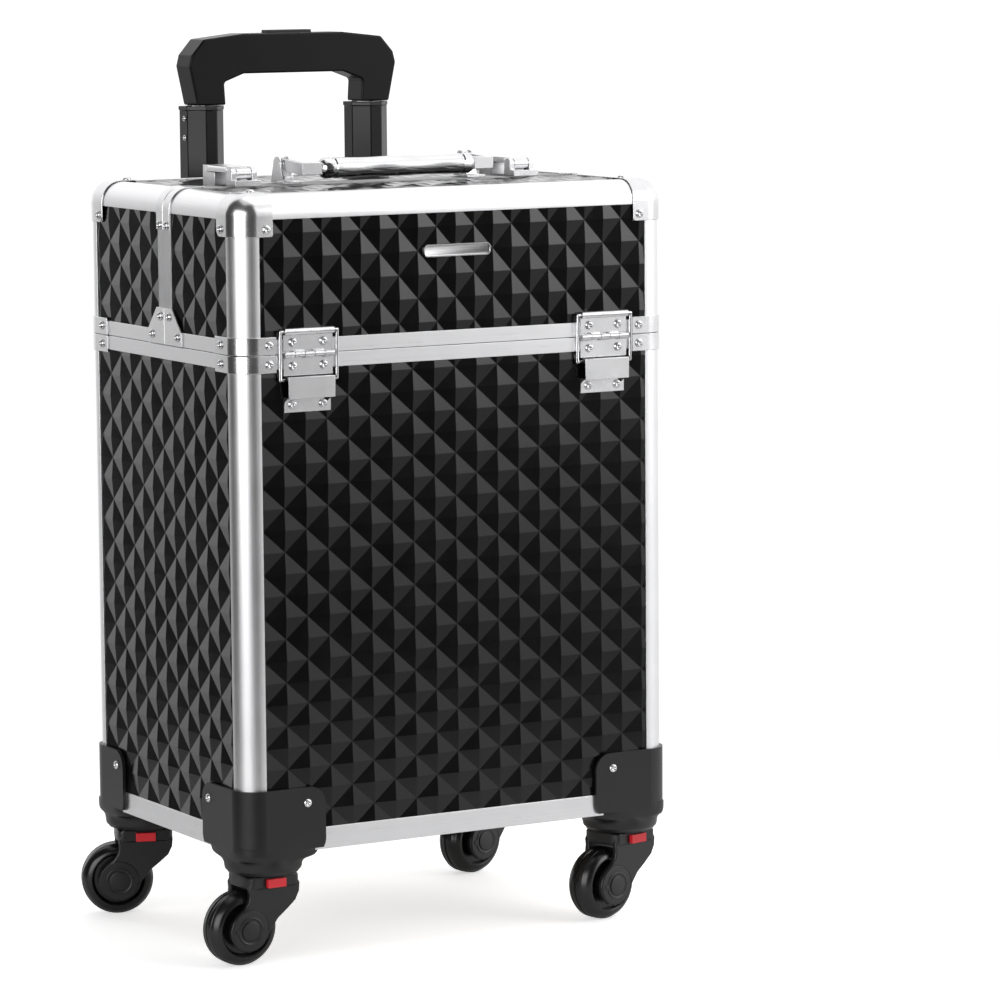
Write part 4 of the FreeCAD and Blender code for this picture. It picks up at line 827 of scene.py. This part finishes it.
def fork(corner):
    """Swept fork: two arms that flow from a rounded square crown to discs around the axle."""
    node = "caster_fork_" + corner
    mesh = bmesh.new()
    for inner, outer in ((ARM_INNER, ARM_OUTER), (-ARM_OUTER, -ARM_INNER)):
        near, far = [[mesh.verts.new((x * MM, y * MM, z * MM)) for x, z in FORK_SIDE]
                     for y in (inner, outer)]
        mesh.faces.new(near)
        mesh.faces.new(far)
        for number in range(len(FORK_SIDE)):
            following = (number + 1) % len(FORK_SIDE)
            mesh.faces.new((near[number], near[following], far[following], far[number]))
    crown = lathe([(0, 63.4), (18.8, 63.4), (20.2, 62.8), (20.6, 61.5), (20.6, 56), (20.2, 54.6),
                   (19.2, 54.0), (0, 54.0)], 64, Matrix())
    for vertex in crown.verts:
        x, y = vertex.co.x / MM, vertex.co.y / MM
        size = math.hypot(x, y)
        if size > 1:
            square = size / (abs(x / size) ** 4 + abs(y / size) ** 4) ** 0.25
            vertex.co.x = x / size * min(square, CROWN_REACH) * MM
            vertex.co.y = max(-CROWN_SIDE, min(CROWN_SIDE, y / size * square)) * MM
    cap = [(0, 17.9), (6.4, 17.9), (7.0, 17.5), (7.2, 16.6), (0, 16.6)]
    disc = [(0, 16.9), (13.6, 16.9), (14.3, 16.5), (14.5, 15.8), (0, 15.8)]
    absorb(mesh, crown)
    for turn in TURN_OUT.values():
        absorb(mesh, lathe(cap, 40, AXLE @ turn))
        absorb(mesh, lathe(disc, 56, AXLE @ turn))
    bmesh.ops.recalc_face_normals(mesh, faces=mesh.faces)
    mesh.transform(swivel_frame(corner))
    piece = piece_of(node + "_swept", mesh, plastic, 40)
    soft_edges(piece, 1.1, 3, 50)
    even_shading(piece)
    settle(piece, "fork_" + corner, "black_plastic", node)


def axle_badges(corner):
    """Ring and two side tabs around the axle cap, on both arms of the fork."""
    mesh = bmesh.new()
    for face in TURN_OUT.values():
        turn = swivel_frame(corner) @ AXLE @ face
        ring = lathe([(7.4, 16.6), (9.7, 16.6), (9.9, 17.2), (9.6, 17.45), (8.9, 17.5),
                      (8.6, 17.15), (7.4, 17.1)], 48, turn)
        absorb(mesh, ring)
        for way in (1, -1):
            for vertex in bmesh.ops.create_cube(mesh, size=1)["verts"]:
                x, y, z = vertex.co
                vertex.co = turn @ (Vector((way * 10.3 + x * 2.4, y * 3.4, 17.0 + z * 0.9)) * MM)
    piece = piece_of("axle_rings_" + corner, mesh, plastic, 35)
    soft_edges(piece, 0.2, 2, 30, clamp=True)
    with_modifiers(piece)
    settle(piece, "fork_" + corner, "black_plastic")


def release_button(corner):
    """Red button, drawn in a little so that it stays clear of the swept crown."""
    button = dressed("caster_release_" + corner, "red_plastic", red, 0.5, 30, 3)
    corners = button.data.vertices
    middle = sum((vertex.co for vertex in corners), Vector()) / len(corners)
    for vertex in corners:
        vertex.co = middle + (vertex.co - middle) * BUTTON_SCALE


for corner in SWIVELS:
    fork(corner)
    release_button(corner)
    wheel(corner)
    axle_badges(corner)


# Linings and floor panel

for lining in ("lower_lining", "front_lining", "rear_lining"):
    dressed(lining, "dark_lining", flock, 0.6, 30, 3)
dressed("lower_floor_panel", "board", fibreboard, 0.4)


# Floor, light and camera

def floor():
    """White paper that keeps a soft shadow and fades out around the case."""
    mesh = bmesh.new()
    bmesh.ops.create_circle(mesh, cap_ends=True, segments=96, radius=3.0)
    material = bpy.data.materials.new("paper_floor")
    material.use_nodes = True
    tree = material.node_tree
    tree.nodes.clear()
    place = put(tree, "ShaderNodeTexCoord").outputs["Object"]
    distance = put(tree, "ShaderNodeVectorMath", {0: place}, operation="LENGTH").outputs["Value"]
    fade = put(tree, "ShaderNodeMapRange", {"Value": distance, "From Min": 0.30, "From Max": 0.8},
               interpolation_type="SMOOTHSTEP")
    tooth = put(tree, "ShaderNodeTexNoise", {"Vector": place, "Scale": 700.0,
                                             "Detail": 2.0}).outputs[0]
    bump = put(tree, "ShaderNodeBump", {"Height": tooth, "Strength": 0.05, "Distance": 0.2 * MM})
    paper = put(tree, "ShaderNodeBsdfPrincipled", {
        "Base Color": (0.86, 0.86, 0.86, 1), "Roughness": 0.8, "Normal": bump.outputs[0]})
    clear = put(tree, "ShaderNodeBsdfTransparent")
    seen = put(tree, "ShaderNodeLightPath").outputs["Is Camera Ray"]
    glow = put(tree, "ShaderNodeEmission", {"Strength": maths(tree, "MULTIPLY", seen, 0.55)})
    lit = put(tree, "ShaderNodeAddShader", {0: paper.outputs[0], 1: glow.outputs[0]})
    mixed = put(tree, "ShaderNodeMixShader", {0: fade.outputs[0], 1: lit.outputs[0],
                                              2: clear.outputs[0]})
    put(tree, "ShaderNodeOutputMaterial", {"Surface": mixed.outputs[0]})
    piece_of("paper_floor", mesh, material)


def world():
    """White for the camera, bright behind and to the right of the case, and dim to its left."""
    sky = bpy.data.worlds.new("studio")
    bpy.context.scene.world = sky
    sky.use_nodes = True
    tree = sky.node_tree
    tree.nodes.clear()
    direction = put(tree, "ShaderNodeTexCoord").outputs["Generated"]
    parts = put(tree, "ShaderNodeSeparateXYZ", {0: direction}).outputs
    bright_x, bright_y = 0.883, 0.469
    across = maths(tree, "MULTIPLY_ADD", parts[0], bright_x,
                   maths(tree, "MULTIPLY", parts[1], bright_y))
    room = put(tree, "ShaderNodeMapRange", {
        "Value": across, "From Min": -0.10, "From Max": 0.06, "To Min": 0.06, "To Max": 1.22},
        interpolation_type="SMOOTHSTEP").outputs[0]
    height = put(tree, "ShaderNodeMapRange", {
        "Value": parts[2], "From Min": -0.30, "From Max": 0.02, "To Min": 0.45,
        "To Max": 1.0}).outputs[0]
    seen = put(tree, "ShaderNodeLightPath").outputs["Is Camera Ray"]
    strength = maths(tree, "MAXIMUM", maths(tree, "MULTIPLY", room, height), seen)
    light = put(tree, "ShaderNodeBackground", {"Color": (1, 1, 1, 1), "Strength": strength})
    put(tree, "ShaderNodeOutputWorld", {"Surface": light.outputs[0]})


def softbox(name, place, size, power):
    """A rectangular lamp that faces the middle of the case."""
    lamp = bpy.data.lights.new(name, "AREA")
    lamp.shape = "RECTANGLE"
    lamp.size, lamp.size_y = size
    lamp.energy = power
    holder = bpy.data.objects.new(name, lamp)
    bpy.context.scene.collection.objects.link(holder)
    holder.location = place
    holder.rotation_mode = "QUATERNION"
    holder.rotation_quaternion = (Vector((0, 0, 0.3)) - Vector(place)).to_track_quat("-Z", "Y")


def camera():
    """The photograph's camera, as solved from the case's rails and posts."""
    lens = bpy.data.cameras.new("photo_camera")
    lens.lens = 164.736
    lens.sensor_width = 36.0
    lens.clip_start, lens.clip_end = 0.05, 50.0
    holder = bpy.data.objects.new("photo_camera", lens)
    bpy.context.scene.collection.objects.link(holder)
    target = Vector((102.06, 0, 294.79)) * MM
    turn, tilt, roll = math.radians(-29.96), math.radians(7.12), math.radians(-0.44)
    back = Vector((math.sin(turn) * math.cos(tilt), -math.cos(turn) * math.cos(tilt),
                   math.sin(tilt)))
    distance = 3.3424
    holder.location = target + back * distance
    level = (-back).to_track_quat("-Z", "Y").to_matrix().to_4x4()
    holder.rotation_mode = "QUATERNION"
    holder.rotation_quaternion = (level @ Matrix.Rotation(roll, 4, "Z")).to_quaternion()
    bpy.context.scene.camera = holder


floor()
world()
softbox("front_right_softbox", (2.6, -2.3, 1.5), (2.0, 2.0), 42)
softbox("top_softbox", (0.0, -0.3, 2.3), (1.8, 1.4), 6)
softbox("front_left_softbox", (-2.6, -1.5, 0.9), (2.8, 1.8), 62)
camera()
bpy.context.scene.view_settings.view_transform = "Standard"
